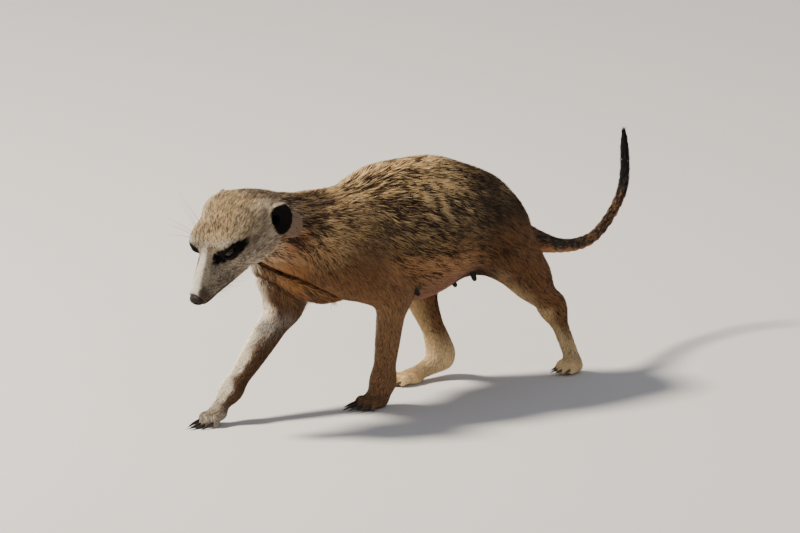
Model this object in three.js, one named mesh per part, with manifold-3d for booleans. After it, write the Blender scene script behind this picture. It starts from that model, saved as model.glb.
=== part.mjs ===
// Meerkat (Suricata suricatta), adult female, life size, walking with its head low.
// Millimetres. +X is the animal's left, -Y is forwards, +Z is up, the floor is Z = 0.
//
// The body is one smooth field: tapered limbs and ellipsoids, each a muscle mass or a bone
// length, run together with a rounded fillet. The field is turned into a surface, thinned to
// few facets, and then parted with thin cuts into the pieces that a person would name.
import * as THREE from 'three';
import * as BufferGeometryUtils from 'three/addons/utils/BufferGeometryUtils.js';
import Module from 'manifold-3d';

const wasm = await Module();
wasm.setup();

// ---------------------------------------------------------------- driving dimensions (mm)
const GAP = 0.3;                      // parting gap between neighbouring pieces
const LATTICE = 2.0;                  // step of the lattice that the surface is taken from
const BODY_FACETS = 4400;             // facets of the whole body before it is parted
const EAR_FACETS = 240;               // facets of one ear before it is fitted to the head

const HEAD_AT = [0, -74.5, 119.3];    // middle of the skull between the ears
const HEAD_PITCH = 42;                // degrees that the muzzle points down
const CHEST = 27, BARREL = 35, LOIN = 25, CROUP = 14.5;     // radii along the trunk
const SKULL = [20, 22, 19];           // half length, width and height of the brain case
const MUZZLE_TIP = 61.5;              // nose pad, forward of the middle of the skull
const EYE_AT = [32.2, 12.6, 8.2], EYE_R = 4.7;            // head frame: forward, left, up
const TAIL_R = [12, 8.8, 6.0, 4.4, 3.7, 3.45, 3.2, 3.05, 2.9, 2.95, 2.7, 2.15, 0.6];
const FORE_CLAW = 13.2, HIND_CLAW = 8.0;                  // length along the curve
const FLOOR_BITE = 0.0;               // the pads are cut flat at this height
// cuts through the trunk, neck, head and tail: a point and the way that the far side lies
const CUT_NECK = [[0, -36, 100], [0, -0.92, 0.38]];
const CUT_HEAD = [[0, -52, 120], [0, -0.76, 0.65]];
const CUT_LOIN = [[0, 28, 90], [0, 1, 0.06]];
const CUT_PELVIS = [[0, 66, 90], [0, 1, 0.1]];
const CUT_TAIL = [[[0, 110, 82], [0, 0.95, -0.3]], [[-4.5, 152, 67.5], [-0.25, 0.9, -0.3]],
  [[-24, 199, 61.5], [-0.4, 0.9, 0.15]], [[-44, 240, 78], [-0.35, 0.62, 0.7]]];

// ---------------------------------------------------------------- frames
const rad = Math.PI / 180;
const W = { o: [0, 0, 0], m: [[1, 0, 0], [0, 1, 0], [0, 0, 1]] };
// a frame's rows are forward, left and up; pitch turns forward down, yaw turns it to the left
function frame(o, pitch = 0, yaw = 0, roll = 0) {
  const p = pitch * rad, y = yaw * rad, r = roll * rad;
  const f = [Math.sin(y) * Math.cos(p), -Math.cos(y) * Math.cos(p), -Math.sin(p)];
  const l0 = [Math.cos(y), Math.sin(y), 0];
  let w0 = cross(l0, f);
  if (w0[2] < 0) w0 = mul(w0, -1);
  const l = add(mul(l0, Math.cos(r)), mul(w0, Math.sin(r)));
  const w = add(mul(w0, Math.cos(r)), mul(l0, -Math.sin(r)));
  return { o, m: [f, l, w] };
}
function cross(a, b) { return [a[1] * b[2] - a[2] * b[1], a[2] * b[0] - a[0] * b[2], a[0] * b[1] - a[1] * b[0]]; }
function add(a, b) { return [a[0] + b[0], a[1] + b[1], a[2] + b[2]]; }
function mul(a, s) { return [a[0] * s, a[1] * s, a[2] * s]; }
function dot(a, b) { return a[0] * b[0] + a[1] * b[1] + a[2] * b[2]; }
function unit(a) { return mul(a, 1 / Math.hypot(...a)); }
function at(F, p) { return add(F.o, add(add(mul(F.m[0], p[0]), mul(F.m[1], p[1])), mul(F.m[2], p[2]))); }
const H = frame(HEAD_AT, HEAD_PITCH);

// ---------------------------------------------------------------- the masses of the body
const GROUPS = [], CLAWS = [];
function group(name, k, K) { GROUPS.push({ name, k, K, prims: [] }); }
// a limb: a line from a to b with radii ra and rb, a bulge between, and sideways squash
function limb(a, b, ra, rb, bulge = 0, squash = 1) {
  const ba = [b[0] - a[0], b[1] - a[1], b[2] - a[2]];
  GROUPS.at(-1).prims.push({ t: 0, a, b, ba, L2: dot(ba, ba), ra, dr: rb - ra, bulge, sq: squash,
    c: mul(add(a, b), 0.5), R: Math.hypot(...ba) / 2 + Math.max(ra, rb) + Math.abs(bulge) });
}
// an ellipsoid with its half sizes along the rows of frame F
function ball(c, r, F) { GROUPS.at(-1).prims.push({ t: 1, c, r, m: F.m, R: Math.max(...r) }); }
function mirror(fn, c, r, F) {
  fn(c, r, F);
  const d = [c[0] - F.o[0], c[1] - F.o[1], c[2] - F.o[2]];
  fn(at(F, [dot(d, F.m[0]), -dot(d, F.m[1]), dot(d, F.m[2])]), r, F);
}
// a smooth curve through the tail's points, each with its radius as the fourth number
function tail(pts) {
  const out = [], n = pts.length;
  for (let i = 0; i < n - 1; i++) {
    const q = [pts[Math.max(i - 1, 0)], pts[i], pts[i + 1], pts[Math.min(i + 2, n - 1)]];
    for (const t of [0, 0.5]) {
      out.push([0, 1, 2, 3].map(j => 0.5 * (2 * q[1][j] + (q[2][j] - q[0][j]) * t
        + (2 * q[0][j] - 5 * q[1][j] + 4 * q[2][j] - q[3][j]) * t * t
        + (3 * q[1][j] - q[0][j] - 3 * q[2][j] + q[3][j]) * t * t * t)));
    }
  }
  out.push(pts[n - 1]);
  for (let i = 0; i < out.length - 1; i++) {
    limb(out[i].slice(0, 3), out[i + 1].slice(0, 3), out[i][3], out[i + 1][3], 0, 1);
  }
}
// a paw: pad half sizes, toe [length, fan, step sideways], toe radius, 1 for a fore paw
function foot(F, pad, toe, r, fore, drop = 0) {
  ball(at(F, [0, 0, 0]), pad, F);
  const [L, fan, side] = toe;
  for (const i of [-1.5, -0.5, 0.5, 1.5]) {
    const inner = Math.abs(i) < 1;
    const bx = pad[0] * 0.35 + (inner ? 1.4 : -0.8);
    const k = [bx + L * 0.5, i * side + i * fan * 0.12, 0.8];
    const t = [bx + L * (inner ? 1.0 : 0.86), i * side + i * fan * 0.3, -1.0 - drop];
    limb(at(F, [bx - 2, i * side * 0.86, 0.5]), at(F, k), r, r, 0, 1);
    limb(at(F, k), at(F, t), r, r * 0.86, 0, 1);
    CLAWS.push({ F, base: t, r, fore, i });
  }
}

group('trunk', 16, 14);
limb([0, -22, 91.5], [0, 26, 95], CHEST - 1.5, BARREL - 0.5, -0.6, 0.88);
limb([0, 22, 96], [0, 56, 96], BARREL, BARREL - 1.5, 0, 0.92);
limb([0, 56, 96], [0, 90, 90], BARREL - 1.5, LOIN, 0, 0.95);
limb([0, 90, 89.5], [0, 107, 80], LOIN - 2, CROUP - 1, 0, 0.95);
ball([0, 36, 88.5], [33, 30, 31], W);
ball([0, -30, 82], [18, 17, 19], W);
ball([0, -13, 106.5], [12, 17, 13], W);
ball([0, 80, 96.5], [18, 22, 22], W);
group('neck', 12, 12);
limb([0, -24, 98], at(H, [-3, 0, -7]), 24, 14.8, 0, 1.1);
limb([0, -30, 86], at(H, [8, 0, -8]), 18, 10, 0, 1.15);
group('head', 6, 7);
ball(at(H, [8, 0, 0]), SKULL, H);
ball(at(H, [16, 0, 3.5]), [18, 19, 18], H);
ball(at(H, [24, 0, 5.5]), [13, 17, 12.5], H);
limb(at(H, [28, 0, 1]), at(H, [55.5, 0, -4.2]), 13, 4.3, -1.0, 1);
limb(at(H, [34, 0, 6.2]), at(H, [58.5, 0, -3.0]), 6.6, 3.2, 0.8, 1);
ball(at(H, [MUZZLE_TIP - 0.7, 0, -4.2]), [3.2, 4.2, 3.2], H);
limb(at(H, [10, 0, -8.5]), at(H, [52, 0, -7.6]), 10.8, 3.4, 1.6, 1);
mirror(ball, at(H, [11, 9, 8]), [13, 13, 13.2], H);
mirror(ball, at(H, [15, 12, -4]), [14, 10, 10.5], H);
mirror(ball, at(H, [25, 12.5, 2]), [9, 6, 6], H);
mirror(ball, at(H, [28, 11, 11]), [9, 6.4, 5.5], H);
group('tail', 2.5, 9);
tail([[0, 108, 84, TAIL_R[0]], [-1, 125, 77, TAIL_R[1]], [-2, 141, 71.6, TAIL_R[2]], [-6, 155.3, 67.3, TAIL_R[3]],
  [-12, 171.2, 63.8, TAIL_R[4]], [-19, 188, 61.8, TAIL_R[5]], [-27, 205.6, 62.3, TAIL_R[6]], [-35, 222.5, 67.3, TAIL_R[7]],
  [-42, 236.7, 74.3, TAIL_R[8]], [-47, 246.0, 82.6, TAIL_R[9]], [-50, 250, 93.5, TAIL_R[10]], [-52, 251.4, 104.3, TAIL_R[11]],
  [-53, 251.8, 114.3, TAIL_R[12]]]);
group('foreleg_L', 9, 11);
ball([17.5, -17, 102], [11, 22, 18], W);
limb([21, -34, 88], [23, 8, 66], 15, 11, 1, 0.8);
limb([23, 8, 66], [15.5, 7, 14], 9, 5.6, 0.3, 0.95);
limb([15.5, 7, 14], [15, 4, 7], 5.4, 4.8, 0, 1.1);
group('fore_paw_left', 1.8, 5);
foot(frame([15, 1.5, 3.7], 2, 4), [7.5, 6.2, 4.4], [7.5, 2.4, 3.3], 2.5, 1);
group('foreleg_R', 9, 11);
ball([-17.5, -25, 103], [11, 22, 17], W);
limb([-21, -45, 91], [-20.5, -34, 58], 14, 10.0, 1.2, 0.8);
limb([-20.5, -33.2, 58], [-12, -81, 17.5], 9.3, 4.8, 0.8, 0.95);
limb([-12, -81, 17.5], [-11.5, -90.2, 9.5], 4.6, 4.0, 0, 1.1);
group('fore_paw_right', 1.8, 5);
foot(frame([-11.5, -92.4, 5.3], 20, 0), [5.4, 5.3, 3.7], [7.5, 2.2, 3.1], 2.4, 1, 0.6);
group('hindleg_L', 9, 12);
ball([19, 81, 90], [16, 21, 20], W);
limb([20, 82, 93], [26, 88, 77], 19.5, 13.5, 0, 0.75);
limb([21, 95, 85], [23, 113, 62], 16, 9.5, 0, 0.75);
limb([25.5, 90.5, 76], [22, 128, 42], 13.0, 6.2, 2.2, 0.8);
limb([22, 128, 40], [21.5, 130.3, 38], 5.2, 4.2, 0, 0.8);
limb([22, 129.3, 40], [21.5, 144, 9], 5.0, 4.5, 0, 0.95);
group('hind_foot_left', 1.8, 5);
foot(frame([21.5, 144.5, 3.8], 0, 6), [6, 5.4, 4.6], [6.5, 2.0, 2.9], 2.4, 0);
group('hindleg_R', 9, 12);
ball([-19, 77, 90], [16, 21, 20], W);
limb([-20, 76, 92], [-26, 62, 70], 20, 14, 0, 0.75);
limb([-21, 88, 84], [-24.5, 75, 56], 16, 8.5, 0, 0.75);
limb([-26, 62, 68], [-20, 81, 20], 12.2, 5.5, 0.3, 0.8);
limb([-20, 80, 20], [-20, 84, 14.5], 5.2, 4.8, 0, 0.85);
limb([-20, 83, 10], [-18.8, 60, 4.0], 6.4, 4.0, 0, 0.95);
group('hind_foot_right', 1.8, 5);
foot(frame([-18.5, 57.5, 3.2], 0, -6), [7.5, 5.8, 3.8], [8, 2.0, 3.0], 2.3, 0);

// ---------------------------------------------------------------- distance to the body
function smin(a, b, k) { const h = Math.max(k - Math.abs(a - b), 0) / k; return Math.min(a, b) - h * h * k * 0.25; }
function smax(a, b, k) { return -smin(-a, -b, k); }
function primDistance(q, x, y, z) {
  if (q.t === 0) {
    const px = x - q.a[0], py = y - q.a[1], pz = z - q.a[2];
    let h = (px * q.ba[0] + py * q.ba[1] + pz * q.ba[2]) / q.L2;
    h = h < 0 ? 0 : h > 1 ? 1 : h;
    const vx = px - h * q.ba[0], vy = py - h * q.ba[1], vz = pz - h * q.ba[2];
    let r = q.ra + q.dr * h;
    if (q.bulge) r += q.bulge * Math.sin(Math.PI * h);
    if (q.sq !== 1) {
      const s = vx / q.sq, ln = Math.sqrt(s * s + vy * vy + vz * vz);
      const g = Math.sqrt((s / q.sq) ** 2 + vy * vy + vz * vz);
      return (ln - r) * ln / Math.max(g, 1e-6);
    }
    return Math.sqrt(vx * vx + vy * vy + vz * vz) - r;
  }
  const dx = x - q.c[0], dy = y - q.c[1], dz = z - q.c[2], m = q.m;
  const a = (dx * m[0][0] + dy * m[0][1] + dz * m[0][2]) / q.r[0];
  const b = (dx * m[1][0] + dy * m[1][1] + dz * m[1][2]) / q.r[1];
  const c = (dx * m[2][0] + dy * m[2][1] + dz * m[2][2]) / q.r[2];
  const k0 = Math.sqrt(a * a + b * b + c * c);
  const k1 = Math.sqrt((a / q.r[0]) ** 2 + (b / q.r[1]) ** 2 + (c / q.r[2]) ** 2);
  return k0 * (k0 - 1) / Math.max(k1, 1e-6);
}
function bodyDistance(x, y, z) {
  let D = 1e3;
  for (const g of GROUPS) {
    let d = 1e3;
    const reach = g.K + 1.25 * g.k;
    for (const q of g.prims) {
      const low = Math.hypot(x - q.c[0], y - q.c[1], z - q.c[2]) - q.R;
      if (low > D + reach) continue;
      d = smin(d, primDistance(q, x, y, z), g.k);
    }
    if (d < 1e3) D = smin(D, d, g.K);
  }
  return D;
}
// The ear is a shallow bowl, open forwards and outwards, with a low lobe behind it.
const EAR = { c: [0.6, 22.2, 0.6], n: unit([0.46, 0.86, 0.14]), up: [-0.62, -0.1, 0.78], ball: 11.5, wall: 1.2, a: 7.4, b: 9.9 };
function earDistance(side, x, y, z) {
  const d = [x - H.o[0], y - H.o[1], z - H.o[2]];
  const p = [dot(d, H.m[0]), dot(d, H.m[1]) * side, dot(d, H.m[2])];
  const up = unit(add(EAR.up, mul(EAR.n, -dot(EAR.up, EAR.n)))), sd = cross(up, EAR.n);
  const v = [p[0] - EAR.c[0], p[1] - EAR.c[1], p[2] - EAR.c[2]];
  const a = dot(v, sd), b = dot(v, up), n = dot(v, EAR.n);
  const shell = Math.abs(Math.sqrt(a * a + 0.72 * b * b + (n - EAR.ball + 2) ** 2) - EAR.ball) - EAR.wall;
  const rim = (Math.hypot(a / EAR.a, b / EAR.b) - 1) * 8.5;
  const bowl = smax(smax(shell, rim, 1.6), n - 6, 1);
  const e = [(p[0] + 4.0) / 7.2, (p[1] - 20.2) / 2.9, (p[2] + 10.8) / 8.0];
  const k0 = Math.hypot(...e), k1 = Math.hypot(e[0] / 7.2, e[1] / 2.9, e[2] / 8.0);
  return smin(bowl, k0 * (k0 - 1) / Math.max(k1, 1e-6), 2);
}

// ---------------------------------------------------------------- surface of a field
function surface(fn, lo, hi, h) {
  const n = lo.map((v, i) => Math.ceil((hi[i] - v) / h / 4) * 4 + 1);
  const at3 = (i, j, k) => (i * n[1] + j) * n[2] + k;
  const vol = new Float64Array(n[0] * n[1] * n[2]);
  const half = 2 * h, rim = Math.sqrt(3) * half * 1.7 + h;
  for (let i = 0; i < n[0]; i += 4) for (let j = 0; j < n[1]; j += 4) for (let k = 0; k < n[2]; k += 4) {
    const c = fn(lo[0] + i * h + half, lo[1] + j * h + half, lo[2] + k * h + half);
    const near = Math.abs(c) < rim;
    for (let a = i; a < Math.min(i + 4, n[0]); a++) for (let b = j; b < Math.min(j + 4, n[1]); b++) for (let d = k; d < Math.min(k + 4, n[2]); d++) {
      vol[at3(a, b, d)] = near ? fn(lo[0] + a * h, lo[1] + b * h, lo[2] + d * h) : c;
    }
  }
  const id = new Int32Array(vol.length).fill(-1), V = [], F = [];
  const corner = [];
  for (let c = 0; c < 8; c++) corner.push([c >> 2 & 1, c >> 1 & 1, c & 1]);
  const edges = [];
  for (let a = 0; a < 8; a++) for (let b = a + 1; b < 8; b++) {
    if (corner[a].reduce((s, v, i) => s + Math.abs(v - corner[b][i]), 0) === 1) edges.push([a, b]);
  }
  for (let i = 0; i < n[0] - 1; i++) for (let j = 0; j < n[1] - 1; j++) for (let k = 0; k < n[2] - 1; k++) {
    const v = corner.map(c => vol[at3(i + c[0], j + c[1], k + c[2])]);
    const inside = v.filter(x => x < 0).length;
    if (inside === 0 || inside === 8) continue;
    const s = [0, 0, 0]; let m = 0;
    for (const [a, b] of edges) {
      if ((v[a] < 0) === (v[b] < 0)) continue;
      const t = v[a] / (v[a] - v[b]);
      for (let q = 0; q < 3; q++) s[q] += corner[a][q] + (corner[b][q] - corner[a][q]) * t;
      m++;
    }
    id[at3(i, j, k)] = V.length;
    V.push([lo[0] + (i + s[0] / m) * h, lo[1] + (j + s[1] / m) * h, lo[2] + (k + s[2] / m) * h]);
  }
  const step = [[1, 0, 0], [0, 1, 0], [0, 0, 1]];
  for (let i = 1; i < n[0] - 1; i++) for (let j = 1; j < n[1] - 1; j++) for (let k = 1; k < n[2] - 1; k++) {
    const a = vol[at3(i, j, k)] < 0;
    for (let ax = 0; ax < 3; ax++) {
      const e = step[ax], b = vol[at3(i + e[0], j + e[1], k + e[2])] < 0;
      if (a === b) continue;
      const u = step[(ax + 1) % 3], w = step[(ax + 2) % 3];
      const q = (s, t) => id[at3(i - s * u[0] - t * w[0], j - s * u[1] - t * w[1], k - s * u[2] - t * w[2])];
      const r = [q(1, 1), q(0, 1), q(0, 0), q(1, 0)];
      if (!a) r.reverse();
      const d2 = (p, o) => Math.hypot(V[p][0] - V[o][0], V[p][1] - V[o][1], V[p][2] - V[o][2]);
      if (d2(r[0], r[2]) < d2(r[1], r[3])) F.push([r[0], r[1], r[2]], [r[0], r[2], r[3]]);
      else F.push([r[0], r[1], r[3]], [r[1], r[2], r[3]]);
    }
  }
  for (let it = 0; it < 2; it++) for (const p of V) settle(fn, p);
  return { V, F };
}
// move a point onto the field's surface
function settle(fn, p) {
  const e = 0.25, k = [[1, -1, -1], [-1, -1, 1], [-1, 1, -1], [1, 1, 1]];
  const d = fn(p[0], p[1], p[2]);
  const g = [0, 0, 0];
  for (const s of k) { const f = fn(p[0] + s[0] * e, p[1] + s[1] * e, p[2] + s[2] * e); g[0] += s[0] * f; g[1] += s[1] * f; g[2] += s[2] * f; }
  const ln = Math.hypot(...g), m = Math.min(Math.max(ln / (4 * e), 0.3), 2);
  const s = Math.max(-1.2, Math.min(1.2, d / m)) / (ln || 1);
  p[0] -= g[0] * s; p[1] -= g[1] * s; p[2] -= g[2] * s;
}

// ---------------------------------------------------------------- thin a mesh by edge collapse
function thin(V, F, target, weight) {
  const Q = V.map(() => new Float64Array(10)), vf = V.map(() => new Set()), alive = F.map(() => true);
  const nrm = f => { const [a, b, c] = f.map(i => V[i]); const u = [b[0] - a[0], b[1] - a[1], b[2] - a[2]], w = [c[0] - a[0], c[1] - a[1], c[2] - a[2]]; return cross(u, w); };
  F.forEach((f, i) => {
    const n = nrm(f), A = Math.hypot(...n); f.forEach(v => vf[v].add(i));
    if (A < 1e-12) return;
    const [x, y, z] = mul(n, 1 / A), p = V[f[0]], d = -(x * p[0] + y * p[1] + z * p[2]);
    const w = A * 0.5 * weight(p);
    const t = [x * x, x * y, x * z, x * d, y * y, y * z, y * d, z * z, z * d, d * d];
    for (const v of f) for (let k = 0; k < 10; k++) Q[v][k] += t[k] * w;
  });
  const err = (q, x, y, z) => q[0] * x * x + 2 * q[1] * x * y + 2 * q[2] * x * z + 2 * q[3] * x + q[4] * y * y + 2 * q[5] * y * z + 2 * q[6] * y + q[7] * z * z + 2 * q[8] * z + q[9];
  const heap = [], stamp = new Int32Array(V.length);
  const less = (i, j) => heap[i].c < heap[j].c;
  const swap = (i, j) => { const t = heap[i]; heap[i] = heap[j]; heap[j] = t; };
  const push = o => { heap.push(o); let i = heap.length - 1; while (i && less(i, (i - 1) >> 1)) { swap(i, (i - 1) >> 1); i = (i - 1) >> 1; } };
  const pop = () => { const o = heap[0], l = heap.pop(); if (heap.length) { heap[0] = l; let i = 0; for (;;) { let m = i; const a = 2 * i + 1, b = a + 1; if (a < heap.length && less(a, m)) m = a; if (b < heap.length && less(b, m)) m = b; if (m === i) break; swap(i, m); i = m; } } return o; };
  const cand = (a, b) => {
    const q = new Float64Array(10); for (let k = 0; k < 10; k++) q[k] = Q[a][k] + Q[b][k];
    const A = V[a], B = V[b], mid = mul(add(A, B), 0.5);
    let best = mid;
    const L = Math.hypot(A[0] - B[0], A[1] - B[1], A[2] - B[2]);
    const s = 1e-3 * (q[0] + q[4] + q[7]);
    const m = [q[0] + s, q[1], q[2], q[1], q[4] + s, q[5], q[2], q[5], q[7] + s];
    const r = [s * mid[0] - q[3], s * mid[1] - q[6], s * mid[2] - q[8]];
    const det = m[0] * (m[4] * m[8] - m[5] * m[7]) - m[1] * (m[3] * m[8] - m[5] * m[6]) + m[2] * (m[3] * m[7] - m[4] * m[6]);
    if (Math.abs(det) > 1e-12) {
      const x = (r[0] * (m[4] * m[8] - m[5] * m[7]) - m[1] * (r[1] * m[8] - m[5] * r[2]) + m[2] * (r[1] * m[7] - m[4] * r[2])) / det;
      const y = (m[0] * (r[1] * m[8] - m[5] * r[2]) - r[0] * (m[3] * m[8] - m[5] * m[6]) + m[2] * (m[3] * r[2] - r[1] * m[6])) / det;
      const z = (m[0] * (m[4] * r[2] - r[1] * m[7]) - m[1] * (m[3] * r[2] - r[1] * m[6]) + r[0] * (m[3] * m[7] - m[4] * m[6])) / det;
      if (Math.hypot(x - mid[0], y - mid[1], z - mid[2]) < L * 1.2) best = [x, y, z];
    }
    return { a, b, p: best, c: Math.max(err(q, ...best), 0) + 1e-5 * L * L, sa: stamp[a], sb: stamp[b] };
  };
  const ring = v => { const s = new Set(); for (const f of vf[v]) for (const o of F[f]) if (o !== v) s.add(o); return s; };
  F.forEach(f => { for (let k = 0; k < 3; k++) if (f[k] < f[(k + 1) % 3]) push(cand(f[k], f[(k + 1) % 3])); });
  let count = F.length;
  while (count > target && heap.length) {
    const e = pop();
    if (stamp[e.a] !== e.sa || stamp[e.b] !== e.sb) continue;
    const shared = [...vf[e.a]].filter(f => vf[e.b].has(f));
    if (shared.length !== 2) continue;
    const ra = ring(e.a), rb = ring(e.b);
    let common = 0; for (const v of ra) if (rb.has(v)) common++;
    if (common !== 2 || ra.size + rb.size < 8) continue;
    let ok = true;
    for (const v of [e.a, e.b]) {
      for (const f of vf[v]) {
        if (shared.includes(f)) continue;
        const n0 = nrm(F[f]);
        const P = F[f].map(i => i === v ? e.p : V[i]);
        const n1 = cross([P[1][0] - P[0][0], P[1][1] - P[0][1], P[1][2] - P[0][2]], [P[2][0] - P[0][0], P[2][1] - P[0][1], P[2][2] - P[0][2]]);
        const l0 = Math.hypot(...n0), l1 = Math.hypot(...n1);
        const s = [0, 1, 2].map(k => Math.hypot(P[k][0] - P[(k + 1) % 3][0], P[k][1] - P[(k + 1) % 3][1], P[k][2] - P[(k + 1) % 3][2]));
        const O = F[f].map(i => V[i]);
        const s0 = [0, 1, 2].map(k => Math.hypot(O[k][0] - O[(k + 1) % 3][0], O[k][1] - O[(k + 1) % 3][1], O[k][2] - O[(k + 1) % 3][2]));
        const shape1 = l1 / Math.max(...s) ** 2, shape0 = l0 / Math.max(...s0) ** 2;
        if ((shape1 < 0.04 && shape1 < shape0) || shape1 < 1e-3 || (l0 > 1e-4 && dot(n0, n1) < 0.35 * l0 * l1)) { ok = false; break; }
      }
      if (!ok) break;
    }
    if (!ok) continue;
    for (const f of shared) { alive[f] = false; count--; for (const v of F[f]) vf[v].delete(f); }
    for (const f of vf[e.b]) { F[f] = F[f].map(v => v === e.b ? e.a : v); vf[e.a].add(f); }
    vf[e.b].clear(); V[e.a] = e.p; stamp[e.b]++; stamp[e.a]++;
    for (let k = 0; k < 10; k++) Q[e.a][k] += Q[e.b][k];
    for (const v of ring(e.a)) push(cand(e.a, v));
  }
  const map = new Map(), V2 = [], F2 = [];
  F.forEach((f, i) => { if (alive[i]) F2.push(f.map(v => { if (!map.has(v)) { map.set(v, V2.length); V2.push(V[v]); } return map.get(v); })); });
  return { V: V2, F: F2 };
}

// ---------------------------------------------------------------- solids
function solid(V, F) {
  return new wasm.Manifold(new wasm.Mesh({ numProp: 3, vertProperties: new Float32Array(V.flat()), triVerts: new Uint32Array(F.flat()) }));
}
function lists(man) {
  const m = man.getMesh(), V = [], F = [];
  for (let i = 0; i < m.vertProperties.length; i += m.numProp) V.push([m.vertProperties[i], m.vertProperties[i + 1], m.vertProperties[i + 2]]);
  for (let i = 0; i < m.triVerts.length; i += 3) F.push([m.triVerts[i], m.triVerts[i + 1], m.triVerts[i + 2]]);
  return { V, F };
}
function fromGeometry(geo, matrix) {
  const g = geo.clone(); g.deleteAttribute('normal'); g.deleteAttribute('uv');
  if (matrix) g.applyMatrix4(matrix);
  const m = BufferGeometryUtils.mergeVertices(g, 1e-4), p = m.attributes.position, V = [], F = [];
  for (let i = 0; i < p.count; i++) V.push([p.getX(i), p.getY(i), p.getZ(i)]);
  for (let i = 0; i < m.index.count; i += 3) F.push([m.index.getX(i), m.index.getX(i + 1), m.index.getX(i + 2)]);
  return solid(V, F.filter(f => f[0] !== f[1] && f[1] !== f[2] && f[0] !== f[2]));
}
// the separate lumps of a solid, largest first
function lumps(man) {
  const { V, F } = lists(man), up = V.map((_, i) => i);
  const find = i => { while (up[i] !== i) { up[i] = up[up[i]]; i = up[i]; } return i; };
  for (const f of F) { up[find(f[0])] = find(f[1]); up[find(f[1])] = find(f[2]); }
  const sets = new Map();
  F.forEach(f => { const r = find(f[0]); if (!sets.has(r)) sets.set(r, []); sets.get(r).push(f); });
  const out = [];
  for (const fs of sets.values()) {
    const map = new Map(), v2 = [];
    const f2 = fs.map(f => f.map(i => { if (!map.has(i)) { map.set(i, v2.length); v2.push(V[i]); } return map.get(i); }));
    let vol = 0;
    for (const [a, b, c] of f2.map(f => f.map(i => v2[i]))) vol += dot(a, cross(b, c)) / 6;
    out.push({ V: v2, F: f2, vol });
  }
  return out.sort((a, b) => b.vol - a.vol);
}
const largest = man => { const l = lumps(man)[0]; return solid(l.V, l.F); };
// a block whose one face is the plane through p facing along -n; it fills the far side
function farSide(p, n, shift = 0, size = 500) {
  const m = new THREE.Matrix4();
  const q = new THREE.Quaternion().setFromUnitVectors(new THREE.Vector3(0, 0, 1), new THREE.Vector3(...unit(n)));
  const c = add(p, mul(unit(n), size / 2 + shift));
  m.compose(new THREE.Vector3(...c), q, new THREE.Vector3(1, 1, 1));
  return fromGeometry(new THREE.BoxGeometry(size, size, size), m);
}
// part a solid at a plane, leaving the gap: [near side, far side]
function part(man, [p, n]) { return [man.subtract(farSide(p, n, -GAP / 2)), man.intersect(farSide(p, n, GAP / 2))]; }
function egg(c, r, grow, around = 12, down = 8, tilt = 0) {
  const m = new THREE.Matrix4().makeTranslation(...c);
  m.multiply(new THREE.Matrix4().makeRotationX(tilt * rad));
  m.multiply(new THREE.Matrix4().makeScale(r[0] + grow, r[1] + grow, r[2] + grow));
  return fromGeometry(new THREE.SphereGeometry(1, around, down), m);
}
// push every corner of a solid out along its own normal
function inflate(man, by) {
  const { V, F } = lists(man), N = V.map(() => [0, 0, 0]);
  for (const f of F) {
    const [a, b, c] = f.map(i => V[i]);
    const n = unit(cross([b[0] - a[0], b[1] - a[1], b[2] - a[2]], [c[0] - a[0], c[1] - a[1], c[2] - a[2]]).map(x => x + 1e-12));
    f.forEach((i, k) => {
      const p = V[i], q = V[f[(k + 1) % 3]], r = V[f[(k + 2) % 3]];
      const u = unit([q[0] - p[0], q[1] - p[1], q[2] - p[2]]), w = unit([r[0] - p[0], r[1] - p[1], r[2] - p[2]]);
      const ang = Math.acos(Math.max(-1, Math.min(1, dot(u, w))));
      N[i] = add(N[i], mul(n, ang));
    });
  }
  return solid(V.map((v, i) => add(v, mul(unit(N[i]), by))), F);
}

// ---------------------------------------------------------------- the body, parted
const headward = p => Math.hypot(p[0] - H.o[0], p[1] - H.o[1] + 22, p[2] - H.o[2] + 20);
const fine = p => (headward(p) < 46 ? 7 : p[2] < 16 ? 9 : p[2] < 50 && p[1] < 160 ? 2.2 : p[1] > 125 ? 2.6 : 1);
const skin = surface(bodyDistance, [-66, -136, -12], [56, 266, 152], LATTICE);
const coarse = thin(skin.V, skin.F, BODY_FACETS, fine);
let body = solid(coarse.V, coarse.F);
body = body.subtract(farSide([0, 60, FLOOR_BITE], [0, 0, -1], 0, 600));

const PIECES = {};
const legs = {
  left_fore: { c: [21, -9, 75], r: [20, 28, 38], tilt: 30, foot: [[15.4, 5.5, 13.5], [0, -0.35, -1]] },
  right_fore: { c: [-20, -33, 79], r: [20, 31, 36], tilt: -15, foot: [[-12, -80, 17.5], [0, -0.75, -0.62]] },
  left_hind: { c: [24, 90, 79], r: [22, 31, 36], tilt: 45, foot: [[22, 131, 41], [0, 0.35, -1]] },
  right_hind: { c: [-23, 77.5, 76.5], r: [22, 32, 37], tilt: -10, foot: [[-20, 83, 20], [0, 0.3, -1]] },
};
const upperName = { left_fore: 'upper_foreleg_left', right_fore: 'upper_foreleg_right', left_hind: 'thigh_left', right_hind: 'thigh_right' };
const lowerName = { left_fore: 'forearm_left', right_fore: 'forearm_right', left_hind: 'shank_left', right_hind: 'shank_right' };
const footName = { left_fore: 'fore_paw_left', right_fore: 'fore_paw_right', left_hind: 'hind_foot_left', right_hind: 'hind_foot_right' };
for (const [k, g] of Object.entries(legs)) {
  PIECES[upperName[k]] = largest(body.intersect(egg(g.c, g.r, 0, 12, 8, g.tilt)));
}
for (const g of Object.values(legs)) body = body.subtract(egg(g.c, g.r, GAP * 1.1, 12, 8, g.tilt));
const loose = lumps(body);
const nearest = p => loose.slice(1).map(l => ({ l, d: Math.min(...l.V.map(v => Math.hypot(v[0] - p[0], v[1] - p[1], v[2] - p[2]))) })).sort((a, b) => a.d - b.d)[0].l;
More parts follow.
